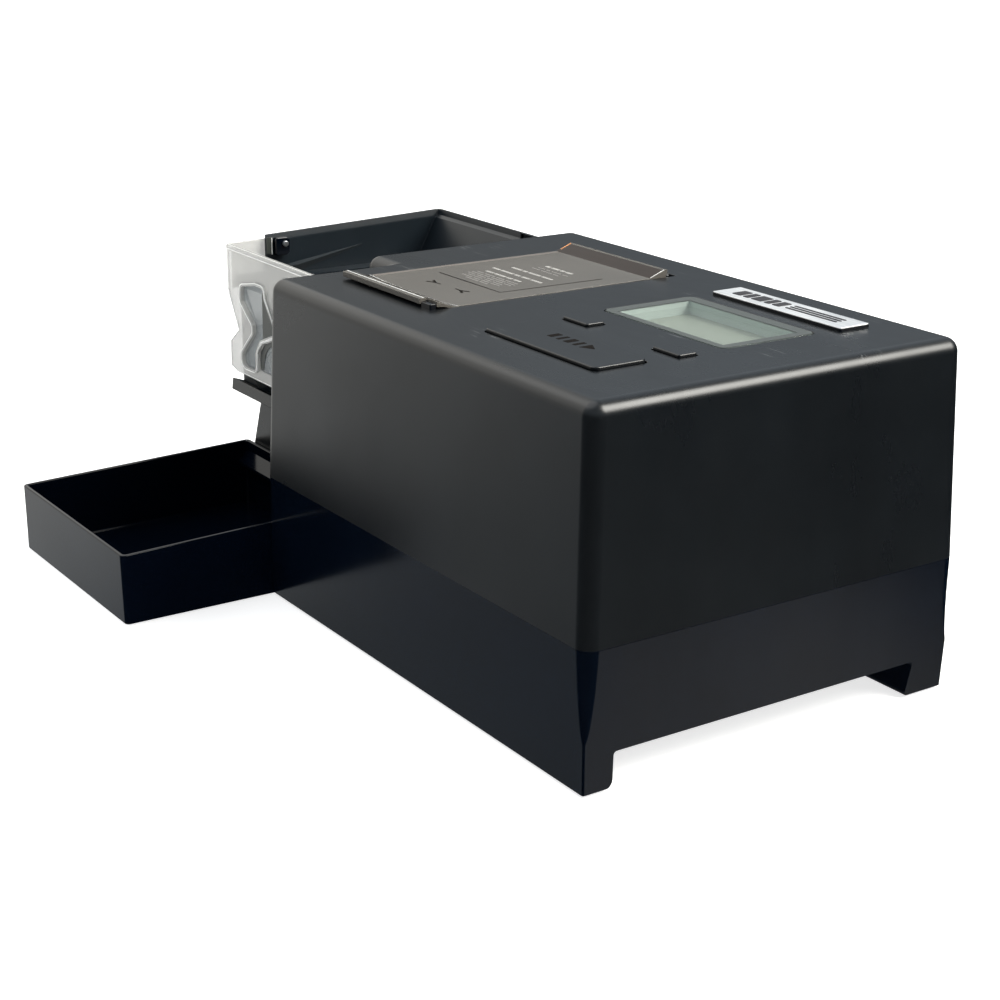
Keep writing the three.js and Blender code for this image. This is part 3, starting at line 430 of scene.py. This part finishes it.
def base():
    low, high = TABLE + 0.8, BASE_TOP
    levels = [(low, 0.8), (-35, 0.8), (-33, 1.7), (-29, 2.8), (-23, 3.9), (-15, 5.0), (high - 0.2, CORNER)]
    rings = [(ring(PLAN, 0.8, BASE_DRAFT * low - 0.5), low),
             (ring(PLAN, 0.8, BASE_DRAFT * low - 0.1), low + 0.2)]
    rings += [(ring(PLAN, r, BASE_DRAFT * z), z + (0.5 if z == low else 0)) for z, r in levels]
    rings += [(ring(PLAN, CORNER, -0.03), high)]
    body = loft("base", rings)
    inside = loft("cutter", [(ring(PLAN, 2.0, -3.6), -38.3), (ring(PLAN, 4.5, -2.5), 3)])
    quarter = [(math.sin(t), math.cos(t)) for t in (k * math.pi / 10 for k in range(6))]
    near = [(NEAR_FOOT + 3.4 * y, low + 3.4 * (1 - z)) for y, z in quarter]
    near += [(ARCH_NEAR + 1.4 * (1 - z), ARCH_SPRING + 1.4 * y) for y, z in quarter]
    far = [(FAR_FOOT - 1.6 * y, low + 1.6 * (1 - z)) for y, z in quarter]
    far += [(ARCH_FAR - 1.4 * (1 - z), ARCH_SPRING + 1.4 * y) for y, z in quarter]
    outline = [(NEAR_FOOT, -80), (FAR_FOOT, -80)] + far + near[::-1]
    arch = slab("cutter", outline, -40, WIDTH + 9, 0.02, 0, "x", steps=1)
    slots = [slab("cutter", rect(x, x + 3, 70, 110), -45, -36, 1.4, 0, steps=4) for x in range(150, 198, 8)]
    inlet = box(176, 190, DEPTH - 6, DEPTH + 2, -21, -9)
    switch = box(200, 215, DEPTH - 6, DEPTH + 2, -25, -5)
    screws = [tube("cutter", "z", x, y, 3.2, low - 5, -15, 24) for x, y in
              [(12, 12), (WIDTH - 12, 12), (WIDTH - 12, DEPTH - 12), (-8, DEPTH - 12)]]
    shaft = tube("cutter", "x", 132.8, -8, 4.2, -24, -12, 24)
    return combined(body, inside, arch, inlet, switch, shaft, *slots, *screws)


place(cover(), "top_cover_shell", "housing", MATERIALS["satin_black"], "satin_black", "top_cover", sharp=28)
place(base(), "base_shell", "housing", MATERIALS["gloss_black"], "gloss_black", "base_housing", sharp=28)


# ---------------------------------------------------------------- controls
def button(name, sides, radius, body):
    cap = slab(name, rect(*sides), 83.2, CAP_TOP[body], radius, 0.6)
    flange = slab("flange", grown(rect(*sides), 1.8), 82.7, 84.2, radius, 0.1)
    middle_x, middle_y = (sides[0] + sides[1]) / 2, (sides[2] + sides[3]) / 2
    stem = box(middle_x - 3.8, middle_x + 3.8, middle_y - 2, middle_y + 2, 76.7, 83.5)
    place(joined(name, cap, flange, stem), name, body, MATERIALS["satin_black"], "satin_black", body)


button("start_cap", START, 2.5, "start_button")
for key, sides in KEYS.items():
    button(f"{key}_cap", sides, 1.0, key)

# Marks on the start button: plain bars and a triangle that points to the right.
mark_low, mark_high = CAP_TOP["start_button"] - 0.3, CAP_TOP["start_button"] + 0.05
marks = [slab("mark", rect(at, at + width, 41.6, 47.2), mark_low, mark_high, 0.4, 0.03)
         for at, width in ((151.5, 3.2), (157.2, 2.0), (161.6, 3.4), (167.4, 2.2))]
marks.append(slab("mark", [(172.2, 41.2), (178.2, 44.4), (172.2, 47.6)], mark_low, mark_high, 0.3, 0.03))
place(joined("start_marks", *marks), "start_marks", "start_button", MATERIALS["print_dark"], "satin_black")

# The display: a clear lens set into the cover, a grey border printed on it and a screen sunk below it.
place(slab("lens", rect(*LENS), COVER_TOP - 2.2, COVER_TOP + 0.1, 3.8, 0.35, steps=12),
      "display_cover", "housing", MATERIALS["lens"], "clear", "display_lens")
bezel = combined(slab("bezel", grown(rect(*LENS), -0.45), *BORDER, 3.4, 0),
                 slab("cutter", rect(*WINDOW), 80, 89, 0.4, 0))
place(bezel, "display_bezel", "housing", MATERIALS["bezel"], "screen")
walls = combined(slab("walls", grown(rect(*LENS), -1.2), SCREEN_TOP, COVER_TOP - 0.3, 2.6, 0),
                 slab("cutter", rect(*WINDOW), 80, 89, 0.4, 0))
place(walls, "display_walls", "housing", MATERIALS["screen_wall"], "screen")
place(slab("screen", grown(rect(*LENS), -3), SCREEN_BACK, SCREEN_TOP, 1, 0.1), "display_screen", "housing",
      MATERIALS["screen"], "screen", "display_panel")

# The name plate: a thin silver face on a black body, with plain raised bars where lettering could be.
place(slab("plate", rect(*PLATE), COVER_TOP + 0.05, PLATE_SPLIT, 0.9, 0.1), "plate_body", "housing",
      MATERIALS["gloss_black"], "silver", "name_plate")
place(slab("plate", grown(rect(*PLATE), -0.15), PLATE_SPLIT, PLATE_TOP, 0.8, 0.2), "plate_face", "housing",
      MATERIALS["silver"], "silver")
bars, at = [], 134.0
for width in (5.0, 3.4, 6.2, 3.4, 4.4):
    bars.append(slab("bar", rect(at, at + width, 146.2, 153.4), PLATE_TOP - 0.1, PLATE_TOP + 0.25,
                     0.6, 0.12))
    at += width + 1.5
place(joined("plate_bars", *bars), "plate_bars", "housing", MATERIALS["silver_dark"], "silver")
lines = [slab("bar", rect(165, 194, y, y + 1.2), PLATE_TOP - 0.1, PLATE_TOP + 0.2, 0.5, 0.1)
         for y in (147.0, 149.4, 151.8)]
place(joined("plate_lines", *lines), "plate_lines", "housing", MATERIALS["silver_dark"], "silver")


# ---------------------------------------------------------------- lid over the filling chamber
def lid():
    """A flat panel, level with the cover, that swells into a lip in front and a ramp at the hinge."""
    lip, front, back, top = LID["lip"], LID["front"], LID["back"], LID["top"]
    profile = [(lip, 88.0), (lip + 2.4, 88.0), (36, 87.5), (front, top - 1.2), (back, top - 1.2),
               (HINGE_Y - 1, 86.3), (HINGE_Y, 90.1), (HINGE_Y - 1.5, 90.1), (back, top), (front, top),
               (lip + 2.4, 90.3), (lip, 90.3)]
    panel = slab("panel", profile, LID["left"], LID["right"], 0.25, 0.12, "x", bottom_edge=0.12, steps=3)
    gaps = [box(x - 0.4, x + 5.4, HINGE_Y - 2.4, HINGE_Y + 6, 84, HINGE_Z + HINGE_R + 0.2)
            for x in (30, 80)]
    return combined(panel, box(82.3, 91, 28, 32.5, 84, 95), *gaps)


place(lid(), "lid_panel", "lid", MATERIALS["smoked"], "smoked", "chamber_lid")


def strip(name, points, width, z, height=0.10):
    """A thin printed or moulded line through points on the lid."""
    path = [Vector(p) for p in points]
    left, right = [], []
    for i, here in enumerate(path):
        before, after = path[max(i - 1, 0)], path[min(i + 1, len(path) - 1)]
        side = (after - before).normalized().orthogonal() * width / 2
        left.append(here + side)
        right.append(here - side)
    corners = left + right[::-1]
    rise = z if callable(z) else (lambda u, v: z)
    return loft(name, [(corners, lambda u, v: rise(u, v) - 0.05),
                       (corners, lambda u, v: rise(u, v) + height)])


top = LID["top"]


def lid_height(x, y):
    """The lid's upper face: flat behind, rising to the lip in front and up the ramp at the hinge."""
    return top + max(0, LID["front"] - y) * 0.34 + max(0, y - LID["back"]) * 0.376


arc = [(20.9, 41.5), (29.6, 40.8), (35, 40.1), (41.7, 39.3), (49, 38.4), (56.5, 37.9), (68.8, 38.1),
       (77.6, 38.6), (84, 39.8), (89.4, 41.8)]
# Painted shade: a dark line, in the dark print colour, along the arc where the lid bends up towards its lip.
place(strip("arc", [(x, y - 0.8) for x, y in arc[:9]], 1.3, lid_height, 0.06), "lid_arc", "lid",
      MATERIALS["print_dark"], "smoked")
# Painted highlight: a thin white strip along the arc, where the bend catches the light.
place(strip("arc", [(x, y + 0.3) for x, y in arc], 0.45, lid_height, 0.12), "lid_arc_highlight", "lid",
      MATERIALS["painted_highlight"], "smoked")
# Painted highlight: a thin white strip along the top of the lip.
place(strip("lip", [(20.9, 31.0), (50, 31.0), (82.2, 31.0)], 0.6, lambda x, y: 90.28, 0.15),
      "lid_lip_highlight", "lid", MATERIALS["painted_highlight"], "smoked")
place(strip("frame", [(32.3, 69.7), (56, 69.9), (78.3, 70.0), (78.9, 95), (79.4, 121.1)], 0.75, top, 0.04),
      "lid_frame_line", "lid", MATERIALS["print_dark"], "smoked")
# Painted highlight: a lighter strip along the lid's left edge.
place(strip("edge", [(22.3, 43), (22.3, 70), (22.3, 100), (22.3, 138.6)], 2.6, top, 0.03),
      "lid_edge_highlight", "lid", MATERIALS["edge_highlight_tint"], "smoked")
arrows = []
for x, y, turned in ((48.2, 57.6, 1), (66.6, 58.2, -1)):
    arrows.append(strip("arrow", [(x - 4.2 * turned, y + 1.8), (x, y)], 1.1, top, 0.04))
    arrows.append(strip("arrow", [(x - 4.2 * turned, y - 1.8), (x, y)], 1.1, top, 0.04))
    arrows.append(strip("arrow", [(x, y), (x + 4.0 * turned, y + 0.1)], 0.7, top, 0.04))
place(joined("lid_arrows", *arrows), "lid_arrows", "lid", MATERIALS["print_dark"], "smoked")

# Rows of plain short bars: middle, y, height and the groups' lengths.
bold_rows = [(55.5, 115.2, 1.7, (3.4, 5.6, 3.0, 4.6)), (55.0, 101.4, 1.5, (7.4, 3.2, 9.0, 7.6)),
             (54.5, 94.0, 1.5, (5.6, 9.4, 4.2, 6.0, 8.0)), (53.0, 88.0, 1.4, (6.0, 8.0, 4.4, 5.2))]
faint_rows = [(57.0, 111.4, 0.7, (5, 3, 7, 4)), (55.0, 108.6, 0.7, (6, 8, 4))]
faint_rows += [(54.0, 84.6 - 2.1 * k, 0.8, lengths) for k, lengths in enumerate(
    [(5, 8, 6, 9), (9, 4, 11, 6), (6, 7, 12, 5), (11, 6, 7), (8, 5, 6, 7), (10, 6)])]


def printed(name, rows, material):
    words = []
    for middle, y, height, lengths in rows:
        x = middle - (sum(lengths) + 0.9 * (len(lengths) - 1)) / 2
        for length in lengths:
            pitch = length / round(length / 1.3)
            for k in range(round(length / 1.3)):
                bit = rect(x + k * pitch, x + (k + 0.7) * pitch, y, y + height)
                words.append(slab("word", bit, top - 0.05, top + 0.04, 0.12, 0, steps=1))
            x += length + 0.9
    place(joined(name, *words), name, "lid", MATERIALS[material], "smoked")


printed("lid_print", bold_rows, "print")
printed("lid_small_print", faint_rows, "print_faint")
# Painted shade: a darker layer over the ramp up to the hinge.
ramp = strip("ramp", [(55.15, 139.1), (55.15, 142.5), (55.15, 146.2)], 68.2, lid_height, 0.03)
place(ramp, "lid_ramp_painted_shade", "lid", MATERIALS["smoked_ramp_painted_shade"], "smoked")
# Painted highlight: an orange glint at the left end of the ramp, and a white line along its right edge.
place(strip("glint", [(21.5, 141.0), (21.5, 146.6)], 0.9, lid_height, 0.06), "lid_glint", "lid",
      MATERIALS["painted_glint_amber"], "smoked")
place(strip("glint", [(89.1, 139.4), (89.1, 146.6)], 0.5, lid_height, 0.06), "lid_ramp_highlight", "lid",
      MATERIALS["painted_highlight"], "smoked")
place(slab("catch", rect(82.8, 89.6, 29.3, 32.2), 86.5, 89.2, 0.5, 0.25), "lid_catch", "housing",
      MATERIALS["gloss_black"], "gloss_black")


# ---------------------------------------------------------------- tube hopper
BIN = {"x0": -99.0, "notch": -1.8, "x1": -20.8, "y0": 36.4, "y1": 152.0, "step": 57.5, "side": 53.6,
       "lean": 12}


def rim_height(x, y):
    return 83.1 + (y - BIN["y0"]) / (BIN["y1"] - BIN["y0"]) * 4.1


def bin_plan(inset, lean):
    """The bin's L-shaped outline; its back leans in at the bottom."""
    left, notch, right = BIN["x0"] + inset, BIN["notch"] - inset, BIN["x1"] - inset
    front, step, back = BIN["y0"] + inset, BIN["step"] - inset, BIN["y1"] - inset - lean
    return [(left, front), (notch, front), (notch, step), (right, step), (right, back), (left, back)]


def tube_bin():
    lean = BIN["lean"]
    outside = loft("bin", [(ring(bin_plan(0, lean), 3.0), 62.0)] + [
        (ring(bin_plan(inset, 0), 3.2), lambda x, y, d=depth: rim_height(x, y) - d)
        for inset, depth in rounded_edge(0.5)])
    inside = loft("cutter", [
        (ring(bin_plan(2.2, lean), 0.3), 64.2),
        (ring(bin_plan(2.2, 1.6), 0.3), lambda x, y: rim_height(x, y) - 3.7),
        (ring(bin_plan(1.9, 0), 0.3), lambda x, y: rim_height(x, y) - 2.6),
        (ring(bin_plan(1.3, 0), 0.3), lambda x, y: rim_height(x, y) - 0.2),
        (ring(bin_plan(1.2, 0), 0.3), lambda x, y: rim_height(x, y)),
        (ring(bin_plan(1.2, 0), 0.3), 99.0)])
    front = box(BIN["x0"] - 1, BIN["notch"] - 2.2, 35.4, 39.6, 66, 99)
    side = box(BIN["x0"] - 1, BIN["x0"] + 3.2, 35.4, BIN["side"], 66, 99)
    mouth = box(-88, -68, 38.6, 122, 61, 66)
    beside_cover = box(BIN["x1"] - 3.2, BIN["notch"] + 1, 35.4, BIN["y1"] - 2.2, 78, 99)
    body = combined(outside, inside, front, side, mouth, beside_cover)
    crease = loft("crease", [([(-97.0, 66.0), (-97.0, 67.6), (-96.8, 67.2)], 58.0),
                             ([(-97.0, 64.0), (-97.0, 69.4), (-94.6, 68.2)], 69.0),
                             ([(-97.0, 73.4), (-97.0, 74.6), (-96.7, 74.4)], 106.0)], "y")
    return joined("tube_bin_shell", body, crease)


place(tube_bin(), "tube_bin_shell", "housing", MATERIALS["inner_black"], "inner_black", "tube_bin",
      sharp=24)

PATH = [(-85.0, 63.4), (-85.0, 56.2), (-79.0, 51.4), (-73.2, 47.2), (-73.2, 42.6), (-79.5, 36.8),
        (-85.3, 31.2), (-85.3, 27.0), (-82.4, 25.1), (-71.7, 25.4), (-71.4, 34.0), (-66.6, 41.2),
        (-55.0, 45.7), (-50.2, 47.2), (-54.6, 52.5), (-61.2, 61.0), (-62.4, 66.4), (-70.0, 66.4)]
CORNER_WINDOW = [(-69.4, 26.0), (-45.0, 26.0), (-45.0, 44.2), (-51.5, 44.2), (-64.5, 39.6), (-68.9, 35.0)]


def clear_front():
    outline = [(-93.3, 20.3), (-1.8, 20.3), (-1.8, 81.0), (-99, 81.0), (-99.4, 57), (-90.3, 41.2),
               (-99.2, 34.5), (-99.8, 21.9)]
    plate = slab("front", outline, 34, 36, 0.8, 0.3, "y", bottom_edge=0.3, steps=4)
    holes = [slab("cutter", corners, 30, 40, 2.2, 0, "y", steps=5) for corners in (PATH, CORNER_WINDOW)]
    rib = slab("rib", grown(PATH, 1.3), 32.9, 34.6, 3.0, 0.4, "y", bottom_edge=0.5, steps=5)
    plate = combined(plate, rib, how="UNION")
    top_rim = slab("rim", rect(-98.9, -1.8, 79.0, 81.0), 33.0, 34.5, 0.4, 0.3, "y", bottom_edge=0.4,
                   steps=3)
    wall = slab("wall", [(35, 58.5), (57.4, 66), (57.4, 81.6), (35, 81.0)], -100.9, -99.3, 0.8, 0.3, "x",
                bottom_edge=0.3, steps=4)
    corner = slab("joint", rect(-100.9, -98.2, 34.1, 36), 58.6, 80.9, 0.5, 0.2)
    plate = combined(plate, top_rim, wall, corner, how="UNION")
    return combined(plate, *holes)


place(clear_front(), "hopper_front_clear", "housing", MATERIALS["clear"], "clear", "hopper_front", sharp=26)


def highlight_line(name, points, radius=0.28):
    """A painted highlight: a thin bright line where the edge of a clear piece catches the light."""
    parts = []
    for start, end in zip(points, points[1:]):
        a, b = Vector(start), Vector(end)
        turn = (b - a).to_track_quat("Z", "Y").to_matrix().to_4x4()
        part = tube(name, "z", 0, 0, radius, 0, (b - a).length, 8)
        part.data.transform(Matrix.Translation(a) @ turn)
        parts.append(part)
    return parts


# Painted highlights: thin white lines along the rims and edges of the clear front, the window rib and the
# clear strip at the hopper's side.
edges = highlight_line("highlight_line", [(-98.7, 33.0, 79.3), (-60, 33.0, 79.3), (-2.0, 33.0, 79.3)])
edges += highlight_line("highlight_line", [(-98.7, 34.0, 80.9), (-60, 34.0, 80.9), (-2.0, 34.0, 80.9)], 0.22)
edges += highlight_line("highlight_line", [(-98.3, 33.9, 80.5), (-98.6, 33.9, 57), (-89.6, 33.9, 41.4), (-98.4, 33.9, 34.5),
                       (-98.9, 33.9, 22.2), (-93.2, 33.9, 21.0), (-2.0, 33.9, 21.0)], 0.22)
edges += highlight_line("highlight_line", [(-96.3, 55.9, 74.2), (-96.3, 55.9, 82.2)], 0.35)
edges += highlight_line("highlight_line", [(x, 33.4, z) for x, z in [(-49.0, 45.9), (-54.5, 44.2), (-65.2, 40.2), (-70.2, 35.0),
                                                 (-70.6, 25.6)]], 0.5)
rib_highlight = [(p.x, 33.0, p.y) for p in ring(grown(PATH, 1.3), 3.0, -0.2, 2)]
edges += highlight_line("highlight_line", rib_highlight + rib_highlight[:1], 0.3)
place(joined("hopper_edge_highlights", *edges), "hopper_edge_highlights", "housing", MATERIALS["clear_edge_highlight"], "clear")
flap = slab("flap", [(53.2, 74.9), (56.0, 74.0), (56.0, 82.4), (53.2, 82.5)], -96.6, -96.1, 0.2, 0, "x",
            steps=2)
place(flap, "hopper_flap", "housing", MATERIALS["dim"], "clear")
# Painted shade: dark sheets laid in the window openings of the clear front, where the hopper's inside shows
# in shade.
painted_shade_patches = [[(-65.6, 63.0), (-65.9, 42.0), (-55.0, 46.2), (-51.5, 47.5), (-55.0, 52.3), (-61.6, 60.8),
           (-62.6, 64.0)],
          [(-68.8, 27.0), (-66.2, 27.0), (-65.4, 31.0), (-63.8, 35.0), (-61.0, 38.0), (-57.5, 40.0),
           (-50.0, 41.5), (-50.0, 43.9), (-51.6, 43.9), (-64.4, 39.3), (-68.6, 34.8)]]
place(joined("painted_shade_patches", *(slab("depth", corners, 34.3, 34.55, 0.3, 0, "y", steps=2) for corners in painted_shade_patches)),
      "hopper_painted_shade", "housing", MATERIALS["dim"], "clear")
panes = [slab("window", grown(corners, -0.02), 34.6, 35.8, 2.2, 0.1, "y", steps=5)
         for corners in (PATH, CORNER_WINDOW)]
place(joined("hopper_window", *panes), "hopper_window", "housing", MATERIALS["window"], "clear")
place(slab("bracket", [(57, 73.7), (63, 73.7), (64.5, 75), (64.5, 81), (63, 82.3), (57, 82.3)],
           -96.7, -93.9, 1.2, 0.5, "x"),
      "hopper_bracket_cap", "housing", MATERIALS["gloss_black"], "gloss_black", "hopper_bracket")
place(tube("screw", "x", 61.8, 79.3, 1.5, -94.2, -92.6, 24, 0.6), "hopper_screw_head", "housing",
      MATERIALS["steel"], "steel", "hopper_screw")

# The shelf under the hopper, and the feeder's foot with its tapered front pillar.
shelf = combined(
    slab("shelf", [(33.2, 10.6), (46.8, 8.2), (121, 8.2), (121, 11.4), (47, 11.4), (33.8, 16.2)],
         -98.4, -21.2, 0.3, 0.3, "x", bottom_edge=0.3, steps=3),
    box(-53, -27, 48, 130, 0, 20), box(-96.5, -71.5, 38, 124.6, 11.7, 30))
place(shelf, "tube_shelf_shell", "housing", MATERIALS["satin_black"], "satin_black", "tube_shelf")
side = [(-109, -55.9), (-21, -55.9), (-21, 3), (-100, 3), (-109, -22)]
hollow = [(-106.5, -60), (-23.5, -60), (-23.5, 0.6), (-97.5, 0.6), (-106.5, -22.5)]
foot = combined(slab("foot", side, 49.5, 176, 0.8, 0.4, "y", bottom_edge=0.4, steps=4),
                slab("cutter", hollow, 52, 173.5, 0.8, 0, "y", steps=3),
                box(-60, -26, 48, 53, -17, -1), box(-53, -27, 53, 130, -1, 4),
                box(-90, -23.5, 126, 173.5, -1, 4),
                tube("cutter", "x", 132.8, -8, 4.2, -25, -19, 24))
place(foot, "feeder_shell", "housing", MATERIALS["satin_black"], "satin_black", "feeder_housing")
hood = combined(slab("hood", rect(-94, -21.6, 125, 175.6), 3.3, 48, 3, 1.2),
                box(-92, -23.6, 120, 173.6, 0, 46))
place(hood, "injector_hood", "housing", MATERIALS["satin_black"], "satin_black", "injector_cover")


# ---------------------------------------------------------------- catch tray
def catch_tray():
    x0, x1, y0, y1 = TRAY

    def plan(low):
        """The outline; the right side leans out to follow the base beside it."""
        return rect(x0 + 0.2 * low, x1 + 0.7 * low, y0 + 0.2 * low, y1 - 0.2 * low)

    def rim(x, y):
        return TABLE + 31.2 + (y - y0) / (y1 - y0) * 3.4

    outside = [(ring(plan(1), 1.6, -0.8), TABLE), (ring(plan(1), 2.0, -0.2), TABLE + 0.25),
               (ring(plan(1), 2.2, 0), TABLE + 0.8)]
    outside += [(ring(plan(0), 2.4 - inset, -inset), lambda x, y, d=depth: rim(x, y) - d)
                for inset, depth in rounded_edge(0.5)]
    inside = [(ring(plan(1), 1.0, -3.4), TABLE + 2.0), (ring(plan(1), 1.2, -2.1), TABLE + 2.4),
              (ring(plan(1), 1.4, -1.8), TABLE + 3.2)]
    inside += [(ring(plan(0), 1.6, -1.8 + 0.2 * k), lambda x, y, d=0.4 - 0.2 * k: rim(x, y) - d)
               for k in (0, 1, 2)]
    inside.append((ring(plan(0), 1.6, -1.4), 9.0))
    tray = combined(loft("tray", outside), loft("cutter", inside))
    back = y1 - 1.3
    slide = slab("slide", [(back, -28.2), (back, -26.0), (back - 5.5, -31.5), (back - 5.5, -33.1)][::-1],
                 x0 + 1.4, x1 - 1.4, 0.1, 0, "x", steps=2)
    return joined("tray", tray, slide)


place(catch_tray(), "tray_shell", "tray", MATERIALS["tray_black"], "gloss_black", "catch_tray", sharp=28)


# ---------------------------------------------------------------- the CAD parts that stay
for node in frame["record"]["subparts"]:
    obj = frame["nodes"][node["node"]]
    obj.data.materials.clear()
    obj.data.materials.append(MATERIALS[node["material_slot"]])


# ---------------------------------------------------------------- floor, light and camera
def studio():
    bm = bmesh.new()
    bmesh.ops.create_grid(bm, x_segments=2, y_segments=2, size=9)
    floor = new_object("floor", bm)
    floor.location.z = -0.0002
    sheet = plastic("floor", (0.72, 0.72, 0.72), 0.7, grain=0.1, mottle=0.01, specular=0.2)
    glow_shader = sheet.node_tree.nodes["Principled BSDF"]
    glow_shader.inputs["Emission Color"].default_value = (1.0, 1.0, 1.0, 1.0)
    glow_shader.inputs["Emission Strength"].default_value = FLOOR_GLOW
    floor.data.materials.append(sheet)
    floor.visible_glossy = False

    world = bpy.data.worlds.new("studio")
    world.use_nodes = True
    bpy.context.scene.world = world
    tree = world.node_tree
    tree.nodes.clear()
    out = tree.nodes.new("ShaderNodeOutputWorld")
    glow = tree.nodes.new("ShaderNodeBackground")
    tree.links.new(glow.outputs["Background"], out.inputs["Surface"])
    where = tree.nodes.new("ShaderNodeTexCoord").outputs["Generated"]

    def math_node(operation, one, two):
        node = tree.nodes.new("ShaderNodeMath")
        node.operation = operation
        tree.links.new(one, node.inputs[0])
        tree.links.new(two, node.inputs[1])
        return node.outputs["Value"]

    def lobe(azimuth, elevation, outer, inner, light):
        """Light from one direction, azimuth clockwise from +Y: full within inner degrees, none past outer."""
        a, e = math.radians(azimuth), math.radians(elevation)
        dot = tree.nodes.new("ShaderNodeVectorMath")
        dot.operation = "DOT_PRODUCT"
        dot.inputs[1].default_value = (math.sin(a) * math.cos(e), math.cos(a) * math.cos(e), math.sin(e))
        tree.links.new(where, dot.inputs[0])
        step = tree.nodes.new("ShaderNodeMapRange")
        step.interpolation_type = "SMOOTHSTEP"
        for socket, value in (("From Min", math.cos(math.radians(outer))),
                              ("From Max", math.cos(math.radians(inner))),
                              ("To Min", 0.0), ("To Max", light)):
            step.inputs[socket].default_value = value
        tree.links.new(dot.outputs["Value"], step.inputs["Value"])
        return step.outputs["Result"]

    lights = [
        lobe(0, 90, 84, 74, 0.22),         # the room above
        lobe(0, 90, 79, 75, 0.15),
        lobe(-44, 42, 34, 8, 0.30),
        lobe(*SOFTBOX, 25, 1, 15.0),       # the large softbox, behind and to the right
        lobe(*PALE_WALL, 38.5, 27, 0.88),  # a pale wall at the left
        lobe(-124, -25, 22, 10, 0.20),
        lobe(*TABLE_BOUNCE, 10.5, 4, 0.45),
    ]
    total = lights[0]
    for light in lights[1:]:
        total = math_node("ADD", total, light)
    tree.links.new(total, glow.inputs["Strength"])
    tint = tree.nodes.new("ShaderNodeMix")
    tint.data_type = "RGBA"
    warm = math_node("MAXIMUM", lobe(-100, 14, 48, 22, 1.0), lobe(*SOFTBOX, 40, 25, 1.0))
    tree.links.new(math_node("MAXIMUM", warm, lobe(*TABLE_BOUNCE, 14, 5, 1.0)), tint.inputs["Factor"])
    tint.inputs["A"].default_value = (0.90, 1.0, 1.09, 1.0)
    tint.inputs["B"].default_value = (1.02, 1.0, 0.94, 1.0)
    tree.links.new(tint.outputs["Result"], glow.inputs["Color"])

    sun = bpy.data.lights.new("key", "SUN")
    sun.energy = 1.0
    sun.angle = math.radians(60)
    key = bpy.data.objects.new("key", sun)
    bpy.context.scene.collection.objects.link(key)
    key.rotation_mode = "QUATERNION"
    key.rotation_quaternion = Vector((0.55, 0.35, -1.25)).to_track_quat("-Z", "Y")


def camera():
    azimuth, elevation, roll = (math.radians(a) for a in (56.012, 18.731, 0.5))
    aim, distance = Vector((0.14581, -0.07069, 0.10582)), 0.6558
    back = Vector((math.sin(azimuth) * math.cos(elevation), -math.cos(azimuth) * math.cos(elevation),
                   math.sin(elevation)))
    right = Vector((math.cos(azimuth), math.sin(azimuth), 0))
    up = back.cross(right)
    tilted = right * math.cos(roll) + up * math.sin(roll)
    lifted = up * math.cos(roll) - right * math.sin(roll)
    data = bpy.data.cameras.new("camera")
    data.lens, data.sensor_width = 69.53, 36.0
    data.clip_start, data.clip_end = 0.01, 40.0
    cam = bpy.data.objects.new("camera", data)
    bpy.context.scene.collection.objects.link(cam)
    turn = Matrix((tilted, lifted, back)).transposed().to_4x4()
    cam.matrix_world = Matrix.Translation(aim + back * distance) @ turn
    bpy.context.scene.camera = cam


studio()
camera()
bpy.context.scene.view_settings.view_transform = "Standard"

bpy.context.view_layer.update()
